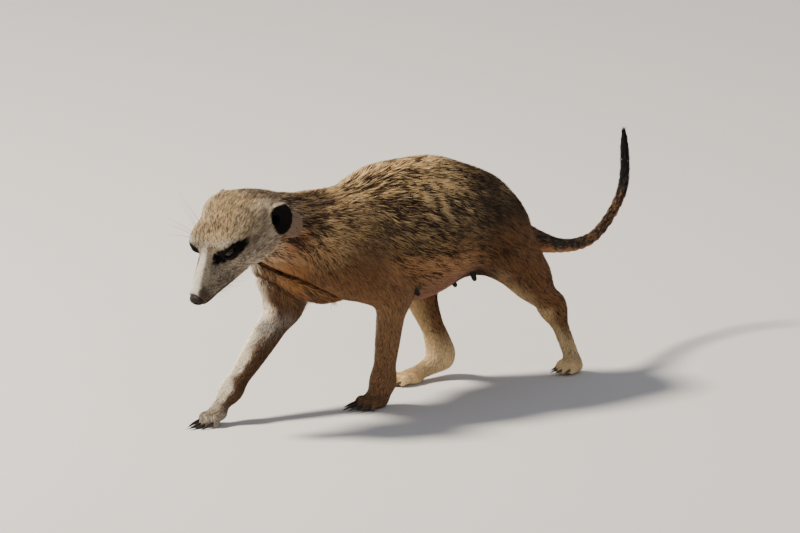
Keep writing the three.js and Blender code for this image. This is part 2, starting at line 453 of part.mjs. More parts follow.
for (const [k, g] of Object.entries(legs)) {
  const l = nearest(g.foot[0]);
  const [near, far] = part(solid(l.V, l.F), g.foot);
  PIECES[lowerName[k]] = largest(near); PIECES[footName[k]] = largest(far);
}
let rest = solid(loose[0].V, loose[0].F), a, b;
[a, b] = part(rest, CUT_NECK); const front = largest(b); rest = a;
[a, b] = part(front, CUT_HEAD); PIECES.neck = largest(a); let head = largest(b);
[a, b] = part(rest, CUT_LOIN); PIECES.thorax = largest(a); rest = b;
[a, b] = part(rest, CUT_PELVIS); PIECES.abdomen = largest(a); rest = b;
CUT_TAIL.forEach((cut, i) => { [a, b] = part(rest, cut); PIECES[['pelvis', 'tail_1', 'tail_2', 'tail_3'][i]] = largest(a); rest = largest(b); });
PIECES.tail_4 = rest;

// ---------------------------------------------------------------- head: jaw, nose, eyes, ears
function headBlock(c, size, grow, pitch = 0) {
  const [f, l, w] = H.m, o = at(H, c);
  const m = new THREE.Matrix4().makeBasis(new THREE.Vector3(...f), new THREE.Vector3(...l), new THREE.Vector3(...cross(f, l)));
  m.setPosition(...o); m.multiply(new THREE.Matrix4().makeRotationY(pitch * rad));
  return fromGeometry(new THREE.BoxGeometry(size[0] + grow, size[1] + grow, size[2] + grow), m);
}
const JAW = [[44, 0, -15.4], [40, 44, 14], -5];
PIECES.lower_jaw = largest(head.intersect(headBlock(JAW[0], JAW[1], -GAP, JAW[2])));
head = largest(head.subtract(headBlock(JAW[0], JAW[1], GAP, JAW[2])));
[a, b] = part(head, [at(H, [MUZZLE_TIP - 2.2, 0, 0]), H.m[0]]);
head = largest(a); PIECES.nose = largest(b);
for (const [name, s] of [['left', 1], ['right', -1]]) {
  const c = at(H, [EYE_AT[0], EYE_AT[1] * s, EYE_AT[2]]);
  PIECES['eye_' + name] = egg(c, [EYE_R, EYE_R, EYE_R], 0, 12, 8);
  head = head.subtract(egg(c, [EYE_R, EYE_R, EYE_R], GAP, 12, 8));
}
PIECES.head = largest(head);
const snug = inflate(PIECES.head, GAP);
for (const [name, s] of [['left', 1], ['right', -1]]) {
  const c = at(H, [-2, 21 * s, -2]);
  const m = surface((x, y, z) => earDistance(s, x, y, z), c.map(v => v - 20), c.map(v => v + 20), 0.8);
  const t = thin(m.V, m.F, EAR_FACETS, () => 1);
  PIECES['ear_' + name] = largest(solid(t.V, t.F).subtract(snug).subtract(inflate(PIECES.neck, GAP)));
}

// ---------------------------------------------------------------- claws
// a claw follows an arc that turns down, from a round root to a point
function claw(F, base, r0, length, start, turn, lead, width) {
  const rings = 5, sides = 5, V = [], T = [];
  let p = [base[0] - lead, base[1], base[2] + 0.5], ang = start * rad;
  for (let i = 0; i <= rings; i++) {
    const t = i / rings, r = r0 * (1 - t) ** 0.8;
    const up = [Math.sin(ang), 0, Math.cos(ang)];
    if (i < rings) for (let k = 0; k < sides; k++) {
      const q = (k + 0.5) / sides * 2 * Math.PI, s = Math.cos(q) * r * width, v = Math.sin(q) * r;
      V.push(at(F, [p[0] + up[0] * v, p[1] + s, p[2] + up[2] * v]));
    }
    if (i === rings) V.push(at(F, p));
    ang += turn * rad / rings;
    const st = (length + lead) / rings;
    p = [p[0] + Math.cos(ang) * st, p[1], p[2] - Math.sin(ang) * st];
  }
  for (let i = 0; i < rings - 1; i++) for (let k = 0; k < sides; k++) {
    const a = i * sides + k, b = i * sides + (k + 1) % sides;
    T.push([a, b, b + sides], [a, b + sides, a + sides]);
  }
  const tip = V.length - 1, last = (rings - 1) * sides;
  for (let k = 0; k < sides; k++) T.push([last + k, last + (k + 1) % sides, tip]);
  for (let k = 1; k < sides - 1; k++) T.push([0, k + 1, k]);
  let vol = 0;
  for (const [x, y, z] of T) vol += dot(V[x], cross(V[y], V[z]));
  return solid(V, vol > 0 ? T : T.map(f => [f[0], f[2], f[1]]));
}
const order = ['fore_paw_left', 'fore_paw_right', 'hind_foot_left', 'hind_foot_right'];
const clawSet = { fore_paw_left: [FORE_CLAW, -10, 24], fore_paw_right: [FORE_CLAW, -24, 34], hind_foot_left: [HIND_CLAW, -6, 24], hind_foot_right: [HIND_CLAW, -6, 24] };
CLAWS.forEach((c, n) => {
  const paw = order[Math.floor(n / 4)], [len, start, turn] = clawSet[paw];
  const L = len * (Math.abs(c.i) < 1 ? 1 : 0.86);
  const whole = claw(c.F, c.base, c.fore ? 1.75 : 1.45, L, start, turn, 1.2, 0.75);
  const cut = whole.subtract(inflate(PIECES[paw], GAP)).subtract(farSide([0, 60, 0.15], [0, 0, -1], 0, 600));
  PIECES['claw_' + paw + '_' + (n % 4 + 1)] = largest(cut);
});

// ---------------------------------------------------------------- tidy the cut pieces
// draw together the ends of very short edges, and turn the long edge of very thin triangles
function mend(V, F, short, thinness) {
  const sub = (a, b) => [a[0] - b[0], a[1] - b[1], a[2] - b[2]];
  for (let pass = 0; pass < 60; pass++) {
    const vf = V.map(() => new Set());
    F.forEach((f, i) => f.forEach(v => vf[v].add(i)));
    const ring = v => { const r = new Set(); for (const f of vf[v]) for (const o of F[f]) if (o !== v) r.add(o); return r; };
    let done = false;
    for (let i = 0; i < F.length && !done; i++) for (let k = 0; k < 3 && !done; k++) {
      const a = F[i][k], b = F[i][(k + 1) % 3], e = sub(V[a], V[b]);
      if (Math.hypot(...e) >= short) continue;
      const ra = ring(a), rb = ring(b);
      if ([...ra].filter(v => rb.has(v)).length !== 2 || [...vf[a]].filter(f => vf[b].has(f)).length !== 2) continue;
      V[a] = mul(add(V[a], V[b]), 0.5);
      F = F.map(f => f.map(v => v === b ? a : v)).filter(f => f[0] !== f[1] && f[1] !== f[2] && f[0] !== f[2]);
      done = true;
    }
    if (done) continue;
    for (let i = 0; i < F.length && !done; i++) {
      const L = [0, 1, 2].map(k => Math.hypot(...sub(V[F[i][k]], V[F[i][(k + 1) % 3]])));
      const k = L.indexOf(Math.max(...L)), a = F[i][k], b = F[i][(k + 1) % 3], c = F[i][(k + 2) % 3];
      const area2 = Math.hypot(...cross(sub(V[b], V[a]), sub(V[c], V[a])));
      if (area2 / L[k] >= thinness) continue;
      const j = [...vf[b]].find(f => f !== i && vf[a].has(f));
      if (j === undefined) continue;
      const d = F[j].find(v => v !== a && v !== b);
      if (ring(c).has(d)) continue;
      F[i] = [a, d, c]; F[j] = [d, b, c];
      done = true;
    }
    if (!done) break;
  }
  const map = new Map(), v2 = [];
  const f2 = F.map(f => f.map(i => { if (!map.has(i)) { map.set(i, v2.length); v2.push(V[i]); } return map.get(i); }));
  // two corners that meet at one point are drawn apart, each towards its own neighbours
  const seen = new Map();
  v2.forEach((v, i) => {
    const key = v.map(x => x.toFixed(2)).join();
    if (seen.has(key)) for (const j of [i, seen.get(key)]) {
      const r = new Set(); for (const f of f2) if (f.includes(j)) f.forEach(o => { if (o !== j) r.add(o); });
      let c = [0, 0, 0]; for (const o of r) c = add(c, mul(v2[o], 1 / r.size));
      v2[j] = add(mul(v2[j], 0.85), mul(c, 0.15));
    }
    seen.set(key, i);
  });
  return { V: v2, F: f2 };
}
// slivers left along a cut are collapsed, and the pads are laid exactly on the floor
for (const name of Object.keys(PIECES)) {
  const { V, F } = lists(PIECES[name]);
  const keep = name.startsWith('claw') ? 0.85 : name.startsWith('eye') ? 1 : name === 'head' || name.includes('paw') || name.includes('foot') ? 0.8 : 0.68;
  const t = keep < 1 ? thin(V, F, Math.round(F.length * keep), () => 1) : { V, F };
  const m = mend(t.V, t.F, 0.06, 0.02);
  for (const v of m.V) if (Math.abs(v[2]) < 0.03) v[2] = 0;
  PIECES[name] = solid(m.V, m.F);
}

// ---------------------------------------------------------------- the model
const LOOK = {
  eye: ['#15100d', 0.12], nose: ['#2a1a16', 0.5], claw: ['#1d1916', 0.45], ear: ['#211b18', 0.9],
  tail_1: ['#b08a5c', 0.9], tail_2: ['#a88356', 0.9], tail_3: ['#8d6c49', 0.9], tail_4: ['#1c1714', 0.9],
  head: ['#b9a58b', 0.9], lower_jaw: ['#a8937b', 0.9], neck: ['#a98c68', 0.9], thorax: ['#a58862', 0.9],
  abdomen: ['#a3835c', 0.9], pelvis: ['#9f7f58', 0.9], hind: ['#d9cba3', 0.9], fore: ['#b89c78', 0.9],
  thigh: ['#a07c55', 0.9], shank: ['#b0926c', 0.9], upper: ['#a88a66', 0.9], forearm: ['#b39672', 0.9],
};
const lookOf = name => LOOK[name] || LOOK[Object.keys(LOOK).find(k => name.startsWith(k))];
const box = new THREE.Box3();
const meshes = Object.entries(PIECES).map(([name, man]) => {
  const { V, F } = lists(man), g = new THREE.BufferGeometry();
  g.setAttribute('position', new THREE.BufferAttribute(new Float32Array(V.flat()), 3));
  g.setIndex(F.flat());
  const [color, roughness] = lookOf(name);
  const mesh = new THREE.Mesh(g, new THREE.MeshStandardMaterial({ color, roughness, metalness: 0 }));
  mesh.name = name; g.computeBoundingBox(); box.union(g.boundingBox);
  return mesh;
});
// the origin is under the middle of the model's box, on the floor
const ORIGIN = [(box.min.x + box.max.x) / 2, (box.min.y + box.max.y) / 2, 0];
const meerkat = new THREE.Group();
meerkat.name = 'meerkat';
meerkat.position.set(-ORIGIN[0], -ORIGIN[1], -ORIGIN[2]);
for (const m of meshes) meerkat.add(m);
export default meerkat;
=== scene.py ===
# Looks of a life-size meerkat model: one skin over the flesh, eyes, nose, claws, whiskers and a coat of mesh tufts.
# Works in millimetres in the animal's own frame and turns to metres in the part's frame at the end.
import math
import bpy
import numpy as np
from mathutils import Matrix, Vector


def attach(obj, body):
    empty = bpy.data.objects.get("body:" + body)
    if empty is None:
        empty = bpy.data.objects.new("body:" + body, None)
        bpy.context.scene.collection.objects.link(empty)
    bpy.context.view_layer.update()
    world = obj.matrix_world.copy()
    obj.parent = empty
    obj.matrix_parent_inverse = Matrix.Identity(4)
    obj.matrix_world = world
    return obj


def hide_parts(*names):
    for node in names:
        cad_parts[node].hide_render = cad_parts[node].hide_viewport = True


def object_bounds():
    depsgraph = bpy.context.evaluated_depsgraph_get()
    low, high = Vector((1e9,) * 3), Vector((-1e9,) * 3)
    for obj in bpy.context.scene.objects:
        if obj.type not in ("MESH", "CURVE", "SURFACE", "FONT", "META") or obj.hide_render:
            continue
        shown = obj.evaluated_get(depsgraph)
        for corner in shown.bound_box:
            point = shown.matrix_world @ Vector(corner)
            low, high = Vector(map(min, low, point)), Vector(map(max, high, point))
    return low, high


f32 = np.float32
rng = np.random.default_rng(11)
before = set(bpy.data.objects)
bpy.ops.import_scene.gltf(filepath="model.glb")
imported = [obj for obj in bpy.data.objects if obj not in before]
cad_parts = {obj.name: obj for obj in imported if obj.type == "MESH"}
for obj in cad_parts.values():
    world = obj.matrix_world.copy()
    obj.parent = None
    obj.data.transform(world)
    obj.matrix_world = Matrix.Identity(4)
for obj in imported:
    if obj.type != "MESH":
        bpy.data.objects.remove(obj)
CAD_BOX = [list(map(float, c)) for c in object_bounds()]
OFF = np.array([7.8560, -66.3134, 0.0])          # from the working frame to the part's frame, mm
LIMIT = np.array(CAD_BOX) * 1000 - OFF

# ------------------------------------------------------------------ frames
W = (np.zeros(3), np.eye(3))
def unit(v):
    v = np.asarray(v, float)
    return v / np.linalg.norm(v)
def frame(o, pitch=0, yaw=0):
    p, y = math.radians(pitch), math.radians(yaw)
    f = np.array([math.sin(y) * math.cos(p), -math.cos(y) * math.cos(p), -math.sin(p)])
    l = np.array([math.cos(y), math.sin(y), 0.0])
    w = np.cross(l, f)
    return (np.array(o, float), np.array([f, l, w if w[2] > 0 else -w]))
def at(F, p):
    return F[0] + np.asarray(p, float) @ F[1]
H = frame([0, -74.5, 119.3], 42)
def head_coords(P):
    return (P - H[0].astype(f32)) @ H[1].T.astype(f32)

# ------------------------------------------------------------------ the masses of the body
GROUPS, CLAWS = [], []
def group(name, k, K, flow):
    GROUPS.append(dict(name=name, k=k, K=K, prims=[], flow=unit(flow)))
def limb(a, b, ra, rb, bulge=0, sq=1, flow=None):
    a, b = np.array(a, float), np.array(b, float)
    g = GROUPS[-1]
    g["prims"].append(dict(t=0, a=a, b=b, ra=ra, rb=rb, bulge=bulge, sq=sq, flow=unit(b - a) if flow is None else unit(flow)))
def ball(c, r, F, flow=None):
    g = GROUPS[-1]
    g["prims"].append(dict(t=1, c=np.array(c, float), r=np.array(r, float), m=F[1], flow=g["flow"] if flow is None else unit(flow)))
def mirror(c, r, F, flow=None):
    ball(c, r, F, flow)
    q = F[1] @ (np.array(c) - F[0]); q[1] = -q[1]
    ball(F[0] + q @ F[1], r, F, flow)
def tail(pts):
    pts = [np.array(p, float) for p in pts]
    out, n = [], len(pts)
    for i in range(n - 1):
        a, b, c, d = pts[max(i - 1, 0)], pts[i], pts[i + 1], pts[min(i + 2, n - 1)]
        for t in (0, 0.5):
            out.append(0.5 * (2 * b + (c - a) * t + (2 * a - 5 * b + 4 * c - d) * t * t + (3 * b - a - 3 * c + d) * t ** 3))
    out.append(pts[-1])
    for a, b in zip(out[:-1], out[1:]):
        limb(a[:3], b[:3], a[3], b[3])
    return out
def foot(F, pad, toe, r, fore, drop=0):
    ball(at(F, [0, 0, 0]), pad, F, F[1][0])
    L, fan, side = toe
    for i in (-1.5, -0.5, 0.5, 1.5):
        inner = abs(i) < 1
        bx = pad[0] * 0.35 + (1.4 if inner else -0.8)
        k = [bx + L * 0.5, i * side + i * fan * 0.12, 0.8]
        t = [bx + L * (1.0 if inner else 0.86), i * side + i * fan * 0.3, -1.0 - drop]
        limb(at(F, [bx - 2, i * side * 0.86, 0.5]), at(F, k), r, r)
        limb(at(F, k), at(F, t), r, r * 0.86)
        CLAWS.append(dict(F=F, base=t, r=r, fore=fore, i=i))

CHEST, BARREL, LOIN, CROUP = 27, 35, 25, 14.5
BACK = (0, 1, -0.12)
group("trunk", 16, 14, BACK)
limb([0, -22, 91.5], [0, 26, 95], CHEST - 1.5, BARREL - 0.5, -0.6, 0.88, BACK)
limb([0, 22, 96], [0, 56, 96], BARREL, BARREL - 1.5, 0, 0.92, BACK)
limb([0, 56, 96], [0, 90, 90], BARREL - 1.5, LOIN, 0, 0.95, BACK)
limb([0, 90, 89.5], [0, 107, 80], LOIN - 2, CROUP - 1, 0, 0.95, (0, 0.85, -0.5))
ball([0, 36, 88.5], [33, 30, 31], W)
ball([0, -30, 82], [18, 17, 19], W)
ball([0, -13, 106.5], [12, 17, 13], W)
ball([0, 80, 96.5], [18, 22, 22], W)
group("neck", 12, 12, (0, 0.9, -0.42))
limb([0, -24, 98], at(H, [-3, 0, -7]), 24, 14.8, 0, 1.1, (0, 0.9, -0.42))
limb([0, -30, 86], at(H, [8, 0, -8]), 18, 10, 0, 1.15, (0, 0.9, -0.42))
UPHEAD = -H[1][0] + 0.1 * H[1][2]
group("head", 6, 7, UPHEAD)
ball(at(H, [8, 0, 0]), [20, 22, 19], H)
ball(at(H, [16, 0, 3.5]), [18, 19, 18], H)
ball(at(H, [24, 0, 5.5]), [13, 17, 12.5], H)
limb(at(H, [28, 0, 1]), at(H, [55.5, 0, -4.2]), 13, 4.3, -1.0, 1, UPHEAD)
limb(at(H, [34, 0, 6.2]), at(H, [58.5, 0, -3.0]), 6.6, 3.2, 0.8, 1, UPHEAD)
ball(at(H, [60.8, 0, -4.2]), [3.2, 4.2, 3.2], H)
limb(at(H, [10, 0, -8.5]), at(H, [52, 0, -7.6]), 10.8, 3.4, 1.6, 1, UPHEAD)
mirror(at(H, [11, 9, 8]), [13, 13, 13.2], H)
mirror(at(H, [15, 12, -4]), [14, 10, 10.5], H)
mirror(at(H, [25, 12.5, 2]), [9, 6, 6], H)
mirror(at(H, [28, 11, 11]), [9, 6.4, 5.5], H)
group("tail", 2.5, 9, (0, 1, -0.3))
TAIL = tail([[0, 108, 84, 12], [-1, 125, 77, 8.8], [-2, 141, 71.6, 6.0], [-6, 155.3, 67.3, 4.4], [-12, 171.2, 63.8, 3.7],
    [-19, 188, 61.8, 3.45], [-27, 205.6, 62.3, 3.2], [-35, 222.5, 67.3, 3.05], [-42, 236.7, 74.3, 2.9], [-47, 246.0, 82.6, 2.95],
    [-50, 250, 93.5, 2.7], [-52, 251.4, 104.3, 2.15], [-53, 251.8, 114.3, 0.6]])
group("foreleg_L", 9, 11, (0.1, 0.45, -1))
ball([17.5, -17, 102], [11, 22, 18], W, (0.1, 0.9, -0.6))
limb([21, -34, 88], [23, 8, 66], 15, 11, 1, 0.8, (0.1, 0.6, -0.9))
limb([23, 8, 66], [15.5, 7, 14], 9, 5.6, 0.3, 0.95)
limb([15.5, 7, 14], [15, 4, 7], 5.4, 4.8, 0, 1.1)
group("fore_paw_left", 1.8, 5, (0, -1, -0.2))
foot(frame([15, 1.5, 3.7], 2, 4), [7.5, 6.2, 4.4], [7.5, 2.4, 3.3], 2.5, 1)
group("foreleg_R", 9, 11, (-0.1, 0.1, -1))
ball([-17.5, -25, 103], [11, 22, 17], W, (-0.1, 0.8, -0.6))
limb([-21, -45, 91], [-20.5, -34, 58], 14, 10.0, 1.2, 0.8, (-0.1, 0.3, -0.9))
limb([-20.5, -33.2, 58], [-12, -81, 17.5], 9.3, 4.8, 0.8, 0.95)
limb([-12, -81, 17.5], [-11.5, -90.2, 9.5], 4.6, 4.0, 0, 1.1)
group("fore_paw_right", 1.8, 5, (0, -1, -0.3))
foot(frame([-11.5, -92.4, 5.3], 20, 0), [5.4, 5.3, 3.7], [7.5, 2.2, 3.1], 2.4, 1, 0.6)
group("hindleg_L", 9, 12, (0.1, 0.6, -1))
ball([19, 81, 90], [16, 21, 20], W, (0.1, 0.9, -0.6))
limb([20, 82, 93], [26, 88, 77], 19.5, 13.5, 0, 0.75, (0.1, 0.8, -0.8))
limb([21, 95, 85], [23, 113, 62], 16, 9.5, 0, 0.75, (0.1, 0.6, -0.9))
limb([25.5, 90.5, 76], [22, 128, 42], 13.0, 6.2, 2.2, 0.8)
limb([22, 128, 40], [21.5, 130.3, 38], 5.2, 4.2, 0, 0.8)
limb([22, 129.3, 40], [21.5, 144, 9], 5.0, 4.5, 0, 0.95)
group("hind_foot_left", 1.8, 5, (0, -1, -0.2))
foot(frame([21.5, 144.5, 3.8], 0, 6), [6, 5.4, 4.6], [6.5, 2.0, 2.9], 2.4, 0)
group("hindleg_R", 9, 12, (-0.1, 0.4, -1))
ball([-19, 77, 90], [16, 21, 20], W, (-0.1, 0.9, -0.6))
limb([-20, 76, 92], [-26, 62, 70], 20, 14, 0, 0.75, (-0.1, 0.5, -0.9))
limb([-21, 88, 84], [-24.5, 75, 56], 16, 8.5, 0, 0.75, (-0.1, 0.4, -0.9))
limb([-26, 62, 68], [-20, 81, 20], 12.2, 5.5, 0.3, 0.8)
limb([-20, 80, 20], [-20, 84, 14.5], 5.2, 4.8, 0, 0.85)
limb([-20, 83, 10], [-18.8, 60, 4.0], 6.4, 4.0, 0, 0.95)
group("hind_foot_right", 1.8, 5, (0, -1, -0.2))
foot(frame([-18.5, 57.5, 3.2], 0, -6), [7.5, 5.8, 3.8], [8, 2.0, 3.0], 2.3, 0)
GI = {g["name"]: i for i, g in enumerate(GROUPS)}
PRIMS = [(gi, q) for gi, g in enumerate(GROUPS) for q in g["prims"]]

# ------------------------------------------------------------------ distances
def smin(a, b, k):
    h = np.maximum(k - np.abs(a - b), 0) / k
    return np.minimum(a, b) - h * h * (k * 0.25)
def smax(a, b, k):
    return -smin(-a, -b, k)
def step(x, a, b):
    t = np.clip((x - a) / (b - a), 0, 1)
    return t * t * (3 - 2 * t)
def bell(x, c, w):
    return np.exp(-((x - c) / w) ** 2)
def d_prim(P, q):
    if q["t"] == 0:
        ba = (q["b"] - q["a"]).astype(f32)
        pa = P - q["a"].astype(f32)
        h = np.clip((pa @ ba) / float(ba @ ba), 0, 1)
        v = pa - h[:, None] * ba
        r = q["ra"] + (q["rb"] - q["ra"]) * h
        if q["bulge"]:
            r = r + q["bulge"] * np.sin(np.pi * h)
        if q["sq"] != 1:
            s = v[:, 0] / q["sq"]
            yz = v[:, 1] ** 2 + v[:, 2] ** 2
            ln = np.sqrt(s * s + yz)
            return (ln - r) * ln / np.maximum(np.sqrt((s / q["sq"]) ** 2 + yz), 1e-6)
        return np.sqrt((v * v).sum(1)) - r
    v = (P - q["c"].astype(f32)) @ q["m"].T.astype(f32)
    r = q["r"].astype(f32)
    k0 = np.sqrt(((v / r) ** 2).sum(1)); k1 = np.sqrt(((v / r ** 2) ** 2).sum(1))
    return k0 * (k0 - 1) / np.maximum(k1, 1e-6)

def depth(P, gi):
    """How deep the skin lies under the outside of the coat, mm."""
    n = GROUPS[gi]["name"]
    if n == "trunk":
        return 1.8 + 1.8 * step(P[:, 2], 62, 95)
    if n == "neck":
        return 2.1 + 1.0 * step(P[:, 2], 80, 115)
    if n == "head":
        f = (P - H[0].astype(f32)) @ H[1][0].astype(f32)
        return 0.35 + 1.5 * (1 - step(f, 8, 50))
    if n == "tail":
        return np.minimum(1.2 + 1.6 * (1 - step(P[:, 1], 118, 165)), 0.25 + (114.5 - P[:, 2]) * 0.05 + 60.0 * (P[:, 1] < 235))
    if "foreleg" in n:
        return 0.6 + 1.8 * step(P[:, 2], 20, 80)
    if "hindleg" in n:
        return 0.6 + 2.2 * step(P[:, 2], 20, 85)
    return np.full(len(P), 0.4, f32)

def field(P, coat=True, groups=False):
    """Distance to the body, to the skin under the coat or to the coat's outside."""
    P = np.ascontiguousarray(P, f32)
    key = np.floor(P / 14.0).astype(np.int64) + 500
    kk = (key[:, 0] * 1000 + key[:, 1]) * 1000 + key[:, 2]
    order = np.argsort(kk, kind="stable"); ks = kk[order]
    s0 = np.flatnonzero(np.r_[True, ks[1:] != ks[:-1]]); s1 = np.r_[s0[1:], len(ks)]
    Ps = P[order]
    lo = np.minimum.reduceat(Ps, s0); hi = np.maximum.reduceat(Ps, s0)
    C = (lo + hi) / 2; Rd = np.linalg.norm(hi - lo, axis=1) / 2
    dc = np.stack([d_prim(C, q) for _, q in PRIMS], 1)
    use = dc < (dc.min(1) + 2.2 * Rd + 20)[:, None]
    out = np.empty(len(P), f32)
    G = np.full((len(GROUPS), len(P)), 60, f32) if groups else None
    for c, (a, b) in enumerate(zip(s0, s1)):
        idx = order[a:b]; p = P[idx]
        D = np.full(len(p), 1e3, f32); cur, dg = -1, None
        for j in np.append(np.flatnonzero(use[c]), -1):
            gi = PRIMS[j][0] if j >= 0 else -2
            if gi != cur:
                if cur >= 0:
                    if coat:
                        dg = dg + depth(p, cur)
                    if groups:
                        G[cur, idx] = dg
                    D = smin(D, dg, GROUPS[cur]["K"])
                cur, dg = gi, None
                if j < 0:
                    break
            d = d_prim(p, PRIMS[j][1])
            dg = d if dg is None else smin(dg, d, GROUPS[gi]["k"])
        out[idx] = D
    return (out, G) if groups else out

# ------------------------------------------------------------------ details of the skin
EAR = dict(c=(0.6, 22.2, 0.6), n=unit([0.46, 0.86, 0.14]), ball=11.5, wall=1.2, a=7.4, b=9.9)
LOBE = (np.array([-4.0, 20.2, -10.8], f32), np.array([7.2, 2.9, 8.0], f32))
_u = np.array([-0.62, -0.1, 0.78]); EAR["up"] = unit(_u - EAR["n"] * (_u @ EAR["n"])); EAR["sd"] = np.cross(EAR["up"], EAR["n"])
def ear_coords(q):
    v = q - np.array(EAR["c"], f32)
    return v @ EAR["sd"].astype(f32), v @ EAR["up"].astype(f32), v @ EAR["n"].astype(f32)
def ear_distance(q, thin=0.0):
    """q: head coordinates with the left side positive; the ear on the side of positive l."""
    a, b, n = ear_coords(q)
    rr = np.sqrt(a * a + 0.72 * b * b + (n - EAR["ball"] + 2) ** 2)
    shell = np.abs(rr - EAR["ball"]) - (EAR["wall"] - thin)
    rim = (np.hypot(a / EAR["a"], b / EAR["b"]) - 1) * 8.5 + thin
    bowl = smax(smax(shell, rim, 1.6), n - 6, 1)
    e = (q - LOBE[0]) / LOBE[1]
    k0 = np.sqrt((e * e).sum(1)); k1 = np.sqrt(((e / LOBE[1]) ** 2).sum(1))
    return smin(bowl, k0 * (k0 - 1) / np.maximum(k1, 1e-6) + thin, 2)
EAR_FRONT = 1.0 if EAR["sd"][0] > 0 else -1.0      # sign of the ear's width axis that points to the nose
EYE = np.array([32.2, 12.6, 8.2]); EYE_R = 4.35
EYE_OUT = unit([0.52, 0.78, 0.32])
_a = np.array([1.0, -0.24, 0.1]); EYE_LONG = unit(_a - EYE_OUT * (_a @ EYE_OUT)); EYE_UP = np.cross(EYE_OUT, EYE_LONG)
if EYE_UP[2] < 0:
    EYE_UP = -EYE_UP
MOUTH = lambda f: np.interp(f, [30, 36.2, 50.2, 55.6, 60], [-11.6, -10.9, -8.7, -7.6, -7.2])
NOSE_F = 58.9

def FOLD(x, y, z):
    """Height above the main fold of the neck, mm."""
    return 0.869 * (z - 80.6 + 0.57 * (y + 51)) - 0.18 * np.clip(-x, 0, 20)
def FOLD_ON(x, y):
    return step(y, -90, -78) * (1 - step(y, -34, -20))
def GROOVE(x, y, z):
    """Depth of the folds of the neck, mm."""
    s = FOLD(x, y, z)
    return FOLD_ON(x, y) * (2.1 * bell(s, 0, 1.2) + 1.4 * bell(s, -6.6, 1.1))

def skin_field(P):
    P = np.ascontiguousarray(P, f32)
    D = field(P)
    # neck folds, from the corner of the jaw down to the breast
    m = np.flatnonzero((P[:, 1] < -18) & (P[:, 1] > -100) & (np.abs(D) < 6) & (P[:, 2] > 50))
    if len(m):
        p = P[m]
        s = FOLD(p[:, 0], p[:, 1], p[:, 2])
        D[m] += GROOVE(*p.T) - FOLD_ON(p[:, 0], p[:, 1]) * (0.7 * bell(s, 3.0, 1.5) + 1.0 * bell(s, -3.2, 1.5) + 0.5 * bell(s, -9.4, 1.6))
    q = head_coords(P)
    m = np.flatnonzero((q[:, 0] > -24) & (q[:, 0] < 72) & (np.abs(q[:, 1]) < 40) & (np.abs(q[:, 2]) < 34) & (P[:, 1] < -40))
    if len(m) == 0:
        return D
    q = q[m]; q[:, 1] = np.abs(q[:, 1]); f, l, w = q.T
    d = D[m]
    # ears
    e = ear_distance(q, 0.3)
    a, b, n = ear_coords(q)
    rr = np.sqrt(a * a + 0.72 * b * b + (n - EAR["ball"] + 2) ** 2)
    scoop = np.maximum(rr - EAR["ball"] + EAR["wall"], (np.hypot(a / EAR["a"], b / EAR["b"]) - 0.99) * 7)
    d = smin(d, e, 2.2)
    d = smax(d, -scoop, 0.8)
    canal = (np.sqrt(((a + 2.4) / 2.6) ** 2 + ((b + 1.6) / 3.3) ** 2 + ((n + 3.0) / 4.5) ** 2) - 1) * 2.6
    d = smax(d, -canal, 0.8)
    fold = np.sqrt((np.hypot(a - 1.2, (b + 1.4) * 0.6) - 2.6) ** 2 + (n + 1.4) ** 2) - 0.65
    d = smin(d, np.maximum(fold, -(a - 1.8)), 0.9)
    # brow, tear trough and lids
    v = q - EYE.astype(f32)
    along, s, t = v @ EYE_OUT.astype(f32), v @ EYE_LONG.astype(f32), v @ EYE_UP.astype(f32)
    r = np.sqrt((v * v).sum(1))
    d = d - 0.9 * bell(t, 5.2, 2.4) * bell(s, -1, 6) * (along > -3)
    d = d + 0.9 * bell(t, -0.6, 1.8) * bell(s, 7.6, 2.4) * (along > -4)
    lid = r - (EYE_R + 1.0)
    lid = smax(lid, -along + 0.4, 1.2)
    d = smin(d, lid, 1.6)
    tt = t + 0.10 * s - 0.02 * s * s * np.sign(t) * 0
    opening = (np.sqrt((s / 3.9) ** 2 + (tt / np.where(tt > 0, 1.1, 1.6)) ** 2) - 1) * 1.5
    opening = np.maximum(opening, -along)
    d = smax(d, -opening, 0.45)
    d = smax(d, -(r - EYE_R - 0.12), 0.2)
    # mouth line and lips
    mw = MOUTH(f)
    on = step(f, 33, 38) * (1 - step(f, 57, 60)) * (w < 4)
    d = d + on * (0.85 * bell(w, mw, 0.55) - 0.35 * bell(w, mw + 1.5, 1.0) - 0.3 * bell(w, mw - 1.4, 0.9))
    # the muzzle ends behind the nose pad, with a hollow for it
    d = smax(d, f - 60.0, 1.6)
    D[m] = d
    return D
def nose_field(P):
    P = np.ascontiguousarray(P, f32)
    q = head_coords(P); l = np.abs(q[:, 1]); f, w = q[:, 0], q[:, 2]
    w = w + 2.6
    c = np.array([59.9, 0, -1.4], f32); r = np.array([3.5, 4.5, 3.3], f32)
    e = (np.stack([f, l, w], 1) - c) / r
    k0 = np.sqrt((e * e).sum(1)); k1 = np.sqrt(((e / r) ** 2).sum(1))
    d = k0 * (k0 - 1) / np.maximum(k1, 1e-6)
    wing = np.sqrt((f - 60.4) ** 2 + (l - 2.6) ** 2 + ((w + 1.6) * 0.9) ** 2) - 2.1
    d = smin(d, wing, 1.0)
    d = smax(d, f - 63.6, 0.8)
    pit = np.sqrt(((f - 63.0) / 1.6) ** 2 + ((l - 1.75) / 0.85) ** 2 + ((w + 1.2) / 0.8) ** 2) - 1
    slit = np.sqrt(((f - 62.0) / 1.8) ** 2 + ((l - 3.2) / 1.2) ** 2 + ((w + 2.2) / 0.42) ** 2) - 1
    d = smax(d, -pit * 0.9, 0.3)
    d = smax(d, -slit * 0.6, 0.3)
    d = d + 0.4 * bell(l, 0, 0.3) * (w < 0.5) * (f > 61)
    return d

